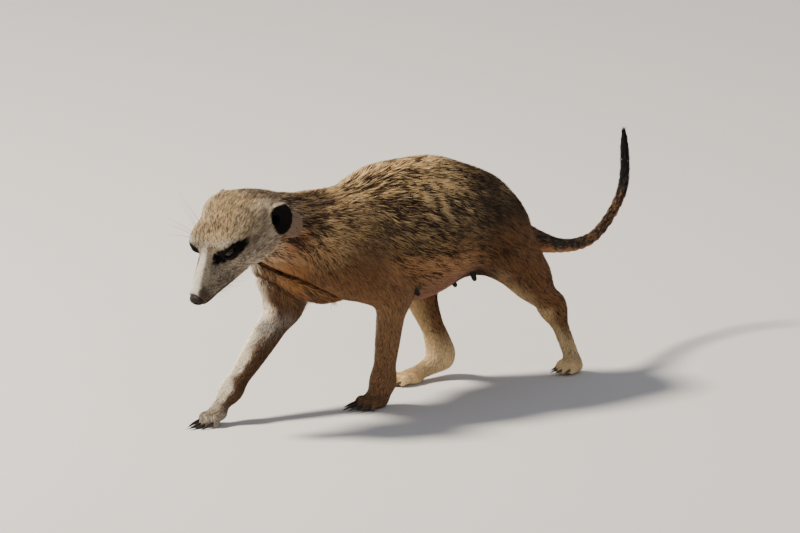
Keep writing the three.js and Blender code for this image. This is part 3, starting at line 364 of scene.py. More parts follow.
# ------------------------------------------------------------------ surface of a field on a graded lattice
def ramp(lo, hi, cuts):
    """Lattice positions from lo to hi; cuts = [(upto, step), ...]."""
    x, out = lo, [lo]
    for upto, h in cuts:
        while x < upto:
            x += h; out.append(x)
    return np.array(out, f32)
def surface(fn, X, Y, Z, coarse=4):
    ax = [X, Y, Z]
    ax = [np.r_[a, a[-1] + (a[-1] - a[-2]) * np.arange(1, (-(len(a) - 1)) % coarse + 1)].astype(f32) for a in ax]
    n = [len(a) for a in ax]
    C = [a[::coarse] for a in ax]; nc = [len(c) for c in C]
    g = np.stack(np.meshgrid(*C, indexing="ij"), -1).reshape(-1, 3)
    dc = fn(g).reshape(nc)
    span = [np.diff(c) for c in C]
    diag = np.sqrt(span[0][:, None, None] ** 2 + span[1][None, :, None] ** 2 + span[2][None, None, :] ** 2)
    mn = np.full([k - 1 for k in nc], 1e9, f32)
    for i in (0, 1):
        for j in (0, 1):
            for k in (0, 1):
                mn = np.minimum(mn, np.abs(dc[i:nc[0] - 1 + i, j:nc[1] - 1 + j, k:nc[2] - 1 + k]))
    A = np.argwhere(mn < diag * 0.95 + 1.0)
    vol = np.repeat(np.repeat(np.repeat(dc, coarse, 0), coarse, 1), coarse, 2)[:n[0], :n[1], :n[2]].astype(f32)
    mark = np.zeros(n, bool)
    o = np.arange(coarse + 1)
    off = np.stack(np.meshgrid(o, o, o, indexing="ij"), -1).reshape(-1, 3)
    idx = (A[:, None, :] * coarse + off[None]).reshape(-1, 3)
    mark[idx[:, 0], idx[:, 1], idx[:, 2]] = True
    I = np.argwhere(mark)
    P = np.stack([ax[k][I[:, k]] for k in range(3)], 1)
    vol[mark] = fn(P)
    s = vol < 0
    cnt = np.zeros([k - 1 for k in n], np.int8)
    corners = [(i, j, k) for i in (0, 1) for j in (0, 1) for k in (0, 1)]
    for i, j, k in corners:
        cnt += s[i:n[0] - 1 + i, j:n[1] - 1 + j, k:n[2] - 1 + k]
    act = (cnt > 0) & (cnt < 8)
    ids = np.full(act.shape, -1, np.int64); A = np.argwhere(act); ids[act] = np.arange(len(A))
    v = [vol[A[:, 0] + i, A[:, 1] + j, A[:, 2] + k] for i, j, k in corners]
    acc = np.zeros((len(A), 3)); num = np.zeros(len(A))
    for a in range(8):
        for b in range(a + 1, 8):
            ca, cb = np.array(corners[a]), np.array(corners[b])
            if np.abs(ca - cb).sum() != 1:
                continue
            m = (v[a] < 0) != (v[b] < 0)
            t = v[a] / np.where(m, v[a] - v[b], 1)
            acc[m] += (ca + (cb - ca) * t[:, None])[m]; num[m] += 1
    frac = acc / num[:, None]
    V = np.stack([ax[k][A[:, k]] + frac[:, k] * (ax[k][A[:, k] + 1] - ax[k][A[:, k]]) for k in range(3)], 1)
    F = []
    for d in range(3):
        u, w = [(1, 2), (2, 0), (0, 1)][d]
        a = np.take(s, range(n[d] - 1), d); b = np.take(s, range(1, n[d]), d)
        E = np.argwhere(a != b)
        E = E[(E[:, u] > 0) & (E[:, w] > 0) & (E[:, u] < n[u] - 1) & (E[:, w] < n[w] - 1)]
        inside = a[E[:, 0], E[:, 1], E[:, 2]]
        def cell(du, dw):
            Q = E.copy(); Q[:, u] -= du; Q[:, w] -= dw
            return ids[Q[:, 0], Q[:, 1], Q[:, 2]]
        q = np.stack([cell(1, 1), cell(0, 1), cell(0, 0), cell(1, 0)], 1)
        q[~inside] = q[~inside][:, ::-1]
        F.append(q)
    return V, np.concatenate(F)
TET = np.array([[1, -1, -1], [-1, -1, 1], [-1, 1, -1], [1, 1, 1]], f32)
def gradient(fn, P, e=0.25):
    n = len(P)
    v = fn(np.concatenate([P + s * e for s in TET]).astype(f32)).reshape(4, n)
    g = TET.T @ v
    ln = np.sqrt((g * g).sum(0))
    return (g / np.maximum(ln, 1e-9)).T, ln / (4 * e)
def settle(fn, P, times=2, e=0.2):
    P = np.asarray(P, f32)
    for _ in range(times):
        d = fn(P); n, m = gradient(fn, P, e)
        P = P - n * np.clip(d / np.clip(m, 0.35, 2), -0.8, 0.8)[:, None]
    return P

# ------------------------------------------------------------------ noise
def noise(P, seed=0):
    """Smooth value noise from -1 to 1, one lattice cell per unit."""
    P = np.asarray(P, np.float64)
    i = np.floor(P).astype(np.int64); t = P - i; t = t * t * (3 - 2 * t)
    out = 0
    for c in range(8):
        o = np.array([c >> 2 & 1, c >> 1 & 1, c & 1])
        k = i + o
        h = (k[:, 0] * 73856093) ^ (k[:, 1] * 19349663) ^ (k[:, 2] * 83492791) ^ (seed * 2654435761)
        h = (h ^ (h >> 13)) * 1274126177 & 0xFFFFFFFF
        h = (h ^ (h >> 16)) & 0xFFFF
        w = np.prod(np.where(o, t, 1 - t), 1)
        out = out + w * (h / 32767.5 - 1)
    return out
def lin(c):
    c = np.asarray(c, float) / 255
    return np.where(c <= 0.04045, c / 12.92, ((c + 0.055) / 1.055) ** 2.4)
def mix(a, b, t):
    t = np.asarray(t)[:, None] if np.ndim(t) else t
    return a * (1 - t) + b * t

# ------------------------------------------------------------------ markings, as functions of place
C = {k: lin(v) for k, v in dict(cream=(226, 196, 144), straw=(196, 156, 102), tan=(160, 120, 80), brown=(96, 66, 42), dark=(42, 26, 17),
    orange=(158, 98, 54), belly=(158, 114, 88), grey=(132, 118, 104), pale=(204, 190, 168), white=(236, 229, 214), black=(13, 10, 9),
    rufous=(112, 72, 42), slate=(72, 62, 56), foot=(240, 212, 162), gold=(176, 122, 60)).items()}
TEATS = [((28, 17, 67.5), (0.70, 0.45, -0.80), 6.0, 1.5), ((18.8, 56.0, 65.4), (0.45, 0.20, -0.95), 4.8, 1.4), ((20.1, 69.2, 69), (0.45, 0.10, -1), 7.0, 1.6)]
def markings(P, N, G):
    """For points on the skin: light hair colour, dark hair colour, share of dark hairs, length, width and more."""
    n = len(P); x, y, z = P.T
    q = head_coords(P.astype(f32)); f, l, w = q[:, 0], np.abs(q[:, 1]), q[:, 2]
    near = G - G.min(0)
    wts = np.exp(-near / 1.6); wts /= wts.sum(0)
    g = {k: wts[i] for k, i in GI.items()}
    soft = np.exp(-near / 5.0); soft /= soft.sum(0)
    gs = {k: soft[i] for k, i in GI.items()}
    big, mid, tiny = noise(P / 15, 1), noise(P / 5, 2), noise(P / 1.3, 9)
    tone = lambda c: np.tile(c, (n, 1))
    # trunk: brindled back, tan flank, thin pinkish belly
    high = step(z + 5 * big - 0.04 * (y - 30), 84, 108)
    low = (1 - step(z + 2 * mid - 0.10 * np.clip(y - 30, 0, 60), 62, 80)) * step(y, -16, 8)
    light = mix(tone(C["tan"] * 0.80 + C["belly"] * 0.12), C["cream"] * 0.74 + C["straw"] * 0.40, high)
    light = mix(light, C["belly"] * 0.9, low)
    row = 0.5 + 0.5 * np.sin(2 * np.pi * (y + 2.2 * mid - 0.30 * np.abs(x) + 0.12 * z) / 8.2)
    rows = step(y, 10, 40) * step(z, 86, 102)
    withers = bell(y, 2, 26) * step(z, 92, 112)
    rear = step(y, 62, 96) * step(z, 60, 84)
    share = 0.30 + 0.20 * high + 0.16 * withers + 0.10 * rear + rows * 0.50 * (row - 0.40) + 0.08 * big
    share = share * (1 - low) + 0.05 * low
    light = mix(light, tone(C["tan"] * 0.72), 0.45 * rear * (1 - high))
    # painted shade: the rear of the body, and a band along the side where the coat does not face up, are darkened and
    # get more dark hairs
    upward = step(N[:, 2], 0.70, 0.95)
    painted_shade = 1 - (1 - 0.70 * step(y + 4 * mid, 42, 72)) * (1 - 0.58 * bell(z + 3 * mid, 101, 14) * (1 - upward) * step(y, -48, -18))
    chest = step(-y, 0, 22) * (1 - step(z, 82, 96))
    light = light * ((1 - painted_shade * (1 - 0.7 * low)) * (1 + 0.45 * bell(z, 81, 7.5) * (1 - 0.6 * step(y, 50, 75))))[:, None]
    light = mix(light, tone(C["rufous"] * 0.62), 0.75 * chest)
    # darker skin round each teat: partly dark skin, partly painted shade under the belly
    for c, d, ln, r in TEATS:
        teat_shade_ring = np.exp(-((np.abs(x) - c[0]) ** 2 + (y - c[1]) ** 2 + (z - c[2]) ** 2) / (3.2 * r) ** 2)
        light = mix(light, tone(C["dark"] * 0.9), 0.85 * np.clip(1.4 * teat_shade_ring, 0, 1))
    share = share + 0.26 * painted_shade * (1 - low) + 0.12 * chest
    darkc = tone(C["dark"])
    # neck: dark above, orange-brown at the side, golden on the ridges of the folds, partly painted light, with more
    # dark hairs in the grooves as painted shade
    nk = gs["neck"] * (1 - step(y, -22, 0))
    side = step(z - 0.30 * (y + 50), 92, 108)
    lt = mix(tone(C["orange"] * 0.52 + C["tan"] * 0.36), C["cream"] * 0.24 + C["tan"] * 0.32, side)
    fs = FOLD(x, y, z); fa = FOLD_ON(x, y)
    # golden on the ridges of the folds: partly painted light
    lt = mix(lt, C["gold"] * 1.2, np.clip(fa * (0.4 * bell(fs, 3.0, 1.6) + bell(fs, -3.2, 1.5) + 0.5 * bell(fs, -9.4, 1.6)), 0, 1) * 0.85)
    under = step(-fs, 12, 20) * step(-x, 4, 14)
    lt = mix(lt, C["tan"] * 0.7 + C["pale"] * 0.3, under * step(-y, 46, 62) * (1 - side))
    # more dark hairs in the grooves of the folds, as painted shade, and fewer on the middle ridge, as painted light
    light = mix(light, lt, nk); share = share * (1 - nk) + nk * np.clip(0.08 + 0.66 * side + 0.06 * mid + 0.80 * fa * (bell(fs, 0, 1.2) + bell(fs, -6.6, 1.0)) - 0.2 * fa * bell(fs, -3.2, 1.3), 0, 0.95)
    # forelegs: tan-brown with fine cross ripples; the right one white in front, a paler front partly painted light, and
    # brown behind, partly painted shade
    for name, sgn in (("foreleg_L", 1), ("foreleg_R", -1)):
        a = gs[name] * (1 - step(z + 4 * big, 88, 104))
        hi2 = step(z, 50, 88)
        lt = mix(tone(C["tan"] * 0.74 + C["grey"] * 0.10), C["orange"] * 0.24 + C["tan"] * 0.34, hi2)
        sh = 0.16 + 0.14 * hi2 + 0.12 * np.sin(2 * np.pi * (z + 1.2 * mid) / 3.6) * (1 - hi2)
        if sgn > 0:
            lt = mix(lt, C["pale"] * 0.85, 0.8 * step(-N[:, 0] - 0.25 * N[:, 1] + 0.2 * mid, 0.35, 0.9) * (1 - step(z, 60, 84)))
        if sgn < 0:
            # right foreleg: white where the leg faces forward and up, a paler front partly painted light; brown on the
            # rest below the shoulder, partly painted shade
            front = step(-N[:, 1] - 0.25 * N[:, 0] + 0.3 * N[:, 2] + 0.25 * mid - 0.35 * step(z, 34, 50), 0.15, 0.65) * (1 - step(z + 0.4 * mid, 90, 104))
            lt = mix(lt, C["brown"] * 0.8 + C["grey"] * 0.14, 0.9 * (1 - front) * (1 - step(z, 76, 92)))
            lt = mix(lt, C["white"] * np.array([1.06, 1.0, 0.90]), front)
            cuff = bell(z, 50, 6)
            lt = mix(lt, C["white"] * 0.95, 0.5 * cuff * step(-N[:, 1], -0.5, 0.4))
            sh = sh * (1 - 0.85 * front)
        lt = lt * (1 - 0.50 * step(z, 82, 98))[:, None]; sh = sh + 0.25 * step(z, 82, 98)
        light = mix(light, lt, a); share = share * (1 - a) + a * sh
    # hind legs: brindled thigh, rufous shank with a cream front edge, partly painted light, and more dark hairs behind
    # the lower shank, partly painted shade
    for name in ("hindleg_L", "hindleg_R"):
        a = gs[name] * (1 - step(z + 4 * big, 94, 112))
        thigh = step(z, 46, 74)
        # the cream edge where the leg faces forward: partly its own colour, partly painted light
        front = step(-N[:, 1], 0.1, 0.8) * (1 - step(z, 56, 84))
        lt = mix(tone(C["rufous"] * 0.55 + C["tan"] * 0.45), C["tan"] * 0.36 + C["orange"] * 0.20, thigh)
        lt = mix(lt, C["cream"] * 0.9, front * 0.8)
        # the bottom of the leg takes the pale foot colour, partly painted light
        lt = mix(lt, C["foot"], 1 - step(z, 12, 32))
        spots = step(noise(np.stack([x / 4.2, (y - 0.35 * z) / 3.0, (z + 0.35 * y) / 4.6], 1), 5) + 0.12, 0.0, 0.45)
        # more dark hairs on the back of the lower shank: partly painted shade
        sh = 0.18 + thigh * (0.10 + 0.26 * spots) + 0.40 * (1 - thigh) * step(N[:, 1], -0.1, 0.6) * step(z, 24, 38) - 0.15 * front
        sh = sh * (0.25 + 0.75 * step(z, 14, 30))
        light = mix(light, lt, a); share = share * (1 - a) + a * sh
    # dark brown patches round the teats, largest at the rear one, with more dark hairs: partly dark skin, partly
    # painted shade
    for tx, ty, tz, tr in ((20, 71, 69, 8.0), (18, 57, 65, 3.6), (27, 18, 67, 3.2)):
        a = np.exp(-(((np.abs(x) - tx) ** 2 + (y - ty) ** 2 + (z - tz) ** 2) / tr ** 2))
        light = mix(light, C["brown"] * 0.5, 0.9 * a); share = share * (1 - a) + 0.5 * a
    warmer = np.clip(nk * (1 - side) + gs["foreleg_L"] + gs["foreleg_R"], 0, 1)
    darkc = mix(darkc, C["brown"] * 0.50, 0.8 * warmer)
    # feet: the hind feet are pale, partly their own colour and partly painted light; the left fore paw is darker than
    # the right as painted shade
    for name, c, sh in (("fore_paw_left", C["tan"] * 0.55 + C["grey"] * 0.12, 0.36), ("fore_paw_right", C["pale"] * 0.62 + C["slate"] * 0.30, 0.22),
                        ("hind_foot_left", C["foot"], 0.05), ("hind_foot_right", C["foot"], 0.05)):
        a = g[name]
        light = mix(light, c, a); share = share * (1 - a) + a * sh
    # tail: tawny, darker above, orange below at the root, black from half way on
    a = gs["tail"] * step(y, 100, 116)
    under = step(-N[:, 2] + 0.5 * N[:, 1] * step(y, 190, 235), 0.05, 0.75)
    lt = mix(tone(C["tan"] * 0.75), C["orange"] * 1.0 + C["straw"] * 0.15, under * (1 - step(z, 74, 88) * step(y, 200, 230)))
    blk = step(z + 2 * mid, 73, 90) * step(y, 205, 230)
    lt = mix(lt, C["rufous"] * 0.9, 0.5 * step(y, 130, 200)); lt = mix(lt, C["black"] * 2.2 + C["slate"] * 0.25, blk)
    sh = 0.12 + (0.74 - 0.22 * step(y, 160, 205)) * (1 - under) * step(y, 108, 124) + 0.75 * blk
    light = mix(light, lt, a); share = share * (1 - a) + a * np.clip(sh, 0, 0.86)
    darkc = mix(darkc, C["black"], a)
    # head
    a = g["head"]; ah = gs["head"] * step(-P[:, 1], 48, 58)
    v = np.stack([f, l, w], 1) - EYE.astype(f32)
    s, t, al = v @ EYE_LONG.astype(f32), v @ EYE_UP.astype(f32), v @ EYE_OUT.astype(f32)
    # the crown is paler: its own paler fur, made paler still, with fewer dark hairs, as painted light from above
    crown_and_painted_light = step(w + 0.2 * f, 6, 16)
    muz = step(f, 31, 42)
    lt = mix(tone(C["pale"] * 0.92 + C["grey"] * 0.15), C["cream"] * 0.46 + C["pale"] * 0.76, crown_and_painted_light * (1 - muz))
    lt = mix(lt, C["belly"] * 0.62 + C["pale"] * 0.64, (1 - muz) * step(-w + 0.1 * (10 - f), 3, 12) * (1 - step(f, 16, 26)))
    # a white line down the top of the muzzle: pale fur, painted brighter than white as a painted highlight
    bridge_and_painted_highlight = (1 - step(l + 0.5 * mid + 0.3 * tiny, 1.0 + 0.06 * np.clip(f - 36, 0, 20), 2.8 + 0.09 * np.clip(f - 36, 0, 20))) * step(f, 32, 44) * step(w + 0.16 * f, 4.0, 7.0)
    flank = step(-w - 0.12 * (f - 40), -4.5, 1.0) * step(f, 24, 36)
    lt = mix(lt, C["pale"] * 0.70 + C["grey"] * 0.25, muz * 0.9)
    lt = mix(lt, C["white"] * 1.08, bridge_and_painted_highlight)
    lt = mix(lt, C["pale"] * 0.85, muz * bell(w, MOUTH(f) + 2.4, 0.9) * 0.5)
    chin = muz * step(MOUTH(f) - w, 0.6, 2.0)
    lt = mix(lt, C["grey"] * 0.7 + C["pale"] * 0.10, chin)
    brow = bell(t + 0.5 * mid, 5.8 + 0.25 * s, 1.2) * step(s, -8, -4) * (1 - step(s, 6, 12)) * (al > -7)
    lt = mix(lt, C["white"] * 0.70, 0.7 * brow)
    sh = 0.44 - 0.08 * crown_and_painted_light * (1 - muz) + 0.12 * muz + 0.16 * flank - 0.85 * bridge_and_painted_highlight - 0.36 * brow + 0.30 * (noise(P / 0.8, 17) + noise(P / 2.2, 18))
    lip = step(f, 52, 58) * step(np.maximum(l - 3.0, -w - 5.0), -0.5, 1.5)
    sh = sh + 0.5 * lip
    sh = sh + 0.25 * step(-f, -6, 4) * step(w, -2, 8)
    light = mix(light, lt, ah); share = share * (1 - ah) + ah * np.clip(sh, 0.02, 1)
    darkc = mix(darkc, C["brown"] * 0.22 + C["slate"] * 0.10, ah * 0.95)
    light = mix(light, C["brown"] * 0.6, 0.5 * lip * a)
    # the black patch round the eye, drawn out to the tear trough and towards the ear
    bend = t + 0.2 + 0.012 * (s - 1) ** 2
    patch = (s - 1.5) ** 2 / np.where(s > 1.5, 11.5, 13.0) ** 2 + bend ** 2 / np.where(bend > 0, 4.3, 5.0) ** 2
    patch = (1 - step(patch + 0.34 * tiny + 0.12 * mid, 0.68, 1.22)) * (al > -8) * (a > 0.3)
    patch = np.maximum(patch, (np.sqrt((v * v).sum(1)) < EYE_R + 1.2) * 1.0)
    mouth = bell(w, MOUTH(f), 0.75) * step(f, 35, 41) * (a > 0.3)
    nosey = step(f, 59.7, 60.1) * (a > 0.3)
    blackn = np.clip(patch + 0.9 * mouth + nosey, 0, 1)
    # ears: black inside, cream in front of the rim, a smooth beige lobe behind
    qe = np.stack([f, l, w], 1)
    ea, eb, en = ear_coords(qe)
    ed = ear_distance(qe, 0.3)
    isear = step(-ed, -1.0, -0.1) * (f < 20) * (l > 12)
    e = (qe - LOBE[0]) / LOBE[1]
    en_ = np.sqrt((e * e).sum(1))
    lobe = (1 - step(en_, 1.05, 1.4)) * (l > 12)
    er = np.hypot(ea / EAR["a"], eb / EAR["b"])
    Nh = N @ H[1].T; Nh[:, 1] *= np.sign(q[:, 1])
    facing = Nh @ EAR["n"]
    rear = step(-EAR_FRONT * ea - 0.3 * eb, -3.5, 1.5)
    inner = (er < 0.84 + 0.17 * rear) * (facing > -0.25) * (en > -11) * (en < 6) * (f < 20) * (l > 8) * (ed < 4) * 1.0
    inner = np.maximum(inner, (np.hypot((ea + 2.4) / 3.6, (eb + 1.6) / 4.4) < 1) * (en < 1.6) * (en > -11) * (f < 20) * (l > 8) * 1.0)
    furry = (1 - step(np.abs(er - 0.98), 0.12, 0.34)) * step(EAR_FRONT * ea + 0.45 * eb, 0.0, 4.0) * (facing > -0.4) * (en > -5) * (f < 20) * (l > 12)
    lt = mix(light, C["pale"] * 0.8 + C["cream"] * 0.2, np.clip(furry, 0, 1))
    lt = mix(lt, C["orange"] * 0.9 + C["belly"] * 0.2, 0.75 * np.clip(bell(f, 0, 9) * bell(w, -20.5, 4.5) * (l > 8) * 1.3, 0, 1))
    edge = bell(en_, 1.12, 0.16) * step(-eb, 6, 11) * (l > 12)
    lt = mix(lt, C["pale"] * 0.30 + C["belly"] * 0.34, np.clip(lobe, 0, 1) * (1 - isear * (er < 1.05)))
    lt = mix(lt, C["orange"] * 0.75, 0.8 * edge)
    light = lt
    share = share * (1 - np.clip(np.maximum(np.maximum(isear, lobe), furry), 0, 1) * 0.8)
    blackn = np.maximum(blackn, inner)
    light = mix(light, C["black"], blackn); share = share * (1 - blackn)
    # sizes of the tufts
    hd = a; ft = g["fore_paw_left"] + g["fore_paw_right"] + g["hind_foot_left"] + g["hind_foot_right"]
    fl = g["foreleg_L"] + g["foreleg_R"]; hl = g["hindleg_L"] + g["hindleg_R"]
    legl = step(z, 22, 85)
    nkl = step(z - 0.30 * (y + 50), 80, 104)
    L = g["trunk"] * (9.5 - 5.0 * low) + g["neck"] * (4.2 + 3.6 * nkl) + hd * (1.2 + 1.7 * (1 - step(f, 6, 44))) + g["tail"] * (7.0 - 3.2 * step(y, 120, 165)) + fl * (2.4 + 4.0 * legl) + hl * (2.4 + 5.0 * legl) + ft * 1.4
    wd = g["trunk"] * (0.58 - 0.2 * low) + g["neck"] * (0.29 + 0.18 * nkl) + hd * (0.19 + 0.07 * (1 - step(f, 10, 40))) + g["tail"] * 0.36 + (fl + hl) * (0.28 + 0.16 * legl) + ft * 0.25
    L = np.where(g["tail"] > 0.5, np.minimum(L, np.clip((117.0 - z) * 0.9, 1.2, 9)), L)
    wd = np.where(g["tail"] > 0.5, np.minimum(wd, 0.16 + np.clip((113.0 - z) * 0.03, 0, 1)), wd)
    es = np.clip(np.maximum(isear, lobe), 0, 1)
    L = L * (1 - es) + 1.5 * es; wd = wd * (1 - es) + 0.22 * es
    L = L + 1.1 * np.clip(furry, 0, 1) * (1 - inner)
    L = L * (1 - 0.45 * fa * bell(fs, -2.5, 6) * gs["neck"])
    L = np.where(np.sqrt((v * v).sum(1)) < EYE_R + 3.0, np.minimum(L, 1.0), L)
    bare = np.clip(np.maximum(inner * (er < 0.90), nosey), 0, 1)
    bare = np.maximum(bare, (g["tail"] > 0.5) * step(z, 112.5, 113.5))
    return dict(light=light, dark=darkc, share=np.clip(share, 0, 1), L=L, wd=wd, head=hd, feet=ft, legs=fl + hl, tail=g["tail"], neck=g["neck"], trunk=g["trunk"],
                low=low * gs["trunk"], black=blackn, bare=bare, ear=es, muz=muz * hd, lobe=lobe)

# ------------------------------------------------------------------ meshes
def make(name, V, T, colours=None, uv=None, smooth=True, quads=False):
    """V in working millimetres. T: (n,3) or (n,4)."""
    V = (np.asarray(V, np.float64) + OFF) / 1000
    me = bpy.data.meshes.new(name)
    k = T.shape[1]
    me.vertices.add(len(V)); me.vertices.foreach_set("co", V.astype(f32).ravel())
    me.loops.add(T.size); me.loops.foreach_set("vertex_index", T.astype(np.int32).ravel())
    me.polygons.add(len(T)); me.polygons.foreach_set("loop_start", np.arange(0, T.size, k, dtype=np.int32))
    me.polygons.foreach_set("use_smooth", np.full(len(T), smooth))
    if colours is not None:
        a = me.color_attributes.new("Col", "FLOAT_COLOR", "POINT")
        a.data.foreach_set("color", np.c_[colours, np.ones(len(V))].astype(f32).ravel())
    me.update(calc_edges=True)
    if uv is not None:
        u = me.uv_layers.new(name="OFBake"); u.data.foreach_set("uv", uv.astype(f32).ravel())
    o = bpy.data.objects.new(name, me)
    bpy.context.scene.collection.objects.link(o)
    return o

def tick(s):
    print(s, flush=True)

X = ramp(-60, 44, [(-27, 1.25), (-21, 0.8), (-8, 0.55), (8, 0.8), (21, 0.55), (27, 0.8), (44, 1.2)])
Y = ramp(-127, 257, [(-113, 0.7), (-88, 0.52), (-42, 0.75), (130, 1.2), (156, 0.95), (257, 1.0)])
Z = ramp(-2.4, 138, [(20, 0.7), (60, 1.1), (94, 0.9), (114, 0.62), (138, 0.85)])
SV, SF = surface(skin_field, X, Y, Z)
tick("surface %d quads" % len(SF))
# keep the largest shell
lab = np.arange(len(SV))
for _ in range(200):
    m = np.minimum.reduce([lab[SF[:, k]] for k in range(4)])
    new = lab.copy()
    for k in range(4):
        np.minimum.at(new, SF[:, k], m)
    new = new[new]
    if (new == lab).all():
        break
    lab = new
best = np.bincount(lab).argmax()
keepf = lab[SF[:, 0]] == best
SF = SF[keepf]
ren = np.full(len(SV), -1); used = np.unique(SF); ren[used] = np.arange(len(used)); SV = SV[used]; SF = ren[SF]
SV = settle(skin_field, SV, 2)
SV = np.clip(SV, LIMIT[0] + 0.05, LIMIT[1] - 0.3)
tick("settled %d" % len(SV))
SN, _ = gradient(skin_field, SV, 0.35)
Dc, SG = field(SV, coat=True, groups=True)
SM = markings(SV, SN, SG)
tick("marked")
# lie of the coat
def flow(P, N, G):
    acc = np.zeros((len(P), 3))
    for gi, q in PRIMS:
        d = d_prim(P.astype(f32), q)
        acc += np.exp(-np.clip(d - G.min(0) * 0, -8, 40) / 3.2)[:, None] * q["flow"]
    x, y, z = P.T
    tr = np.exp(-np.clip(G[GI["trunk"]] - G.min(0), 0, 40) / 3)[:, None]
    acc = acc / np.maximum(np.linalg.norm(acc, axis=1, keepdims=True), 1e-6)
    down = np.stack([0.30 * np.tanh(x / 12), 0 * x, -0.42 * step(z, 70, 110) * np.tanh(np.abs(x) / 8)], 1)
    acc = acc + tr * down
    q = head_coords(P.astype(f32)); f, l, w = q.T
    hd = np.exp(-np.clip(G[GI["head"]] - G.min(0), 0, 40) / 2)
    side = np.tanh(l / 6)
    acc = acc + (hd * 0.35 * step(f, -5, 40))[:, None] * (side[:, None] * H[1][1]) - (hd * 0.30 * step(-w, 0, 10))[:, None] * H[1][2]
    acc = acc + 0.22 * np.stack([noise(P / 9, 21), noise(P / 9, 22), noise(P / 9, 23)], 1) * (1 - 0.5 * hd)[:, None]
    t = acc - (acc * N).sum(1, keepdims=True) * N
    return t / np.maximum(np.linalg.norm(t, axis=1, keepdims=True), 1e-6)
ST = flow(SV, SN, SG)
tick("flow")

# skin colour: what shows between the hairs
sk = mix(SM["light"] * 0.55, SM["dark"], np.clip(SM["share"] * 0.9, 0, 1) * (1 - SM["black"]))
sk = mix(sk, SM["light"] * 0.82, np.clip(SM["feet"] + SM["head"] * 0.35 + SM["low"] + SM["ear"], 0, 1) * (1 - 0.5 * SM["share"]))
sk = mix(sk, C["black"] * 0.8, np.clip(SM["black"], 0, 1))
skin = make("skin", SV, SF, sk)
tick("skin made")

def camera_and_light():
    a, e = math.radians(48), math.radians(12)
    R = np.array([math.cos(a), math.sin(a), 0]); B = np.array([math.sin(a) * math.cos(e), -math.cos(a) * math.cos(e), math.sin(e)]); U = np.cross(B, R)
    ctr = (R * (400 - 354.8) / 1.8 + U * (403.7 - 266.5) / 1.8 + OFF) / 1000
    d = bpy.data.cameras.new("camera"); d.lens = 800; d.sensor_width = 36; d.clip_end = 50
    cam = bpy.data.objects.new("camera", d); bpy.context.scene.collection.objects.link(cam)
    m = Matrix.Identity(4)
    for i in range(3):
        m[i][0], m[i][1], m[i][2], m[i][3] = R[i], U[i], B[i], (ctr + B * 800 / 36 * (800 / 1.8) / 1000)[i]
    cam.matrix_world = m
    bpy.context.scene.camera = cam
    me = bpy.data.meshes.new("floor"); me.from_pydata([(-12, -12, 0), (12, -12, 0), (12, 12, 0), (-12, 12, 0)], [], [(0, 1, 2, 3)])
    fl = bpy.data.objects.new("floor", me); bpy.context.scene.collection.objects.link(fl)
    mt = bpy.data.materials.new("floor"); mt.use_nodes = True
    b = mt.node_tree.nodes["Principled BSDF"]; b.inputs["Base Color"].default_value = (0.62, 0.60, 0.57, 1); b.inputs["Roughness"].default_value = 0.9
    me.materials.append(mt)
    def area(name, way, dist, size, power, colour):
        way = unit(way)
        la = bpy.data.lights.new(name, "AREA"); la.shape = "DISK"; la.size = size; la.energy = power; la.color = colour
        o = bpy.data.objects.new(name, la); bpy.context.scene.collection.objects.link(o)
        c = (OFF + np.array([0, 40, 80])) / 1000
        z = way; x = unit(np.cross([0, 0, 1], z)); y = np.cross(z, x)
        mm = Matrix.Identity(4)
        for i in range(3):
            mm[i][0], mm[i][1], mm[i][2], mm[i][3] = x[i], y[i], z[i], (c + way * dist)[i]
        o.matrix_world = mm
        return o
    Zv = np.array([0, 0, 1.0])
    area("key", -0.85 * R + 1.0 * Zv - 0.05 * B, 2.2, 0.42, 128, (1.0, 0.92, 0.80))
    area("fill", 0.25 * R + 0.35 * Zv + 1.0 * B, 3.0, 2.0, 17, (1.0, 0.94, 0.88))
    wd = bpy.data.worlds.new("world"); bpy.context.scene.world = wd; wd.use_nodes = True
    bg = wd.node_tree.nodes["Background"]; bg.inputs[0].default_value = (0.80, 0.86, 1.0, 1); bg.inputs[1].default_value = 0.38
camera_and_light()

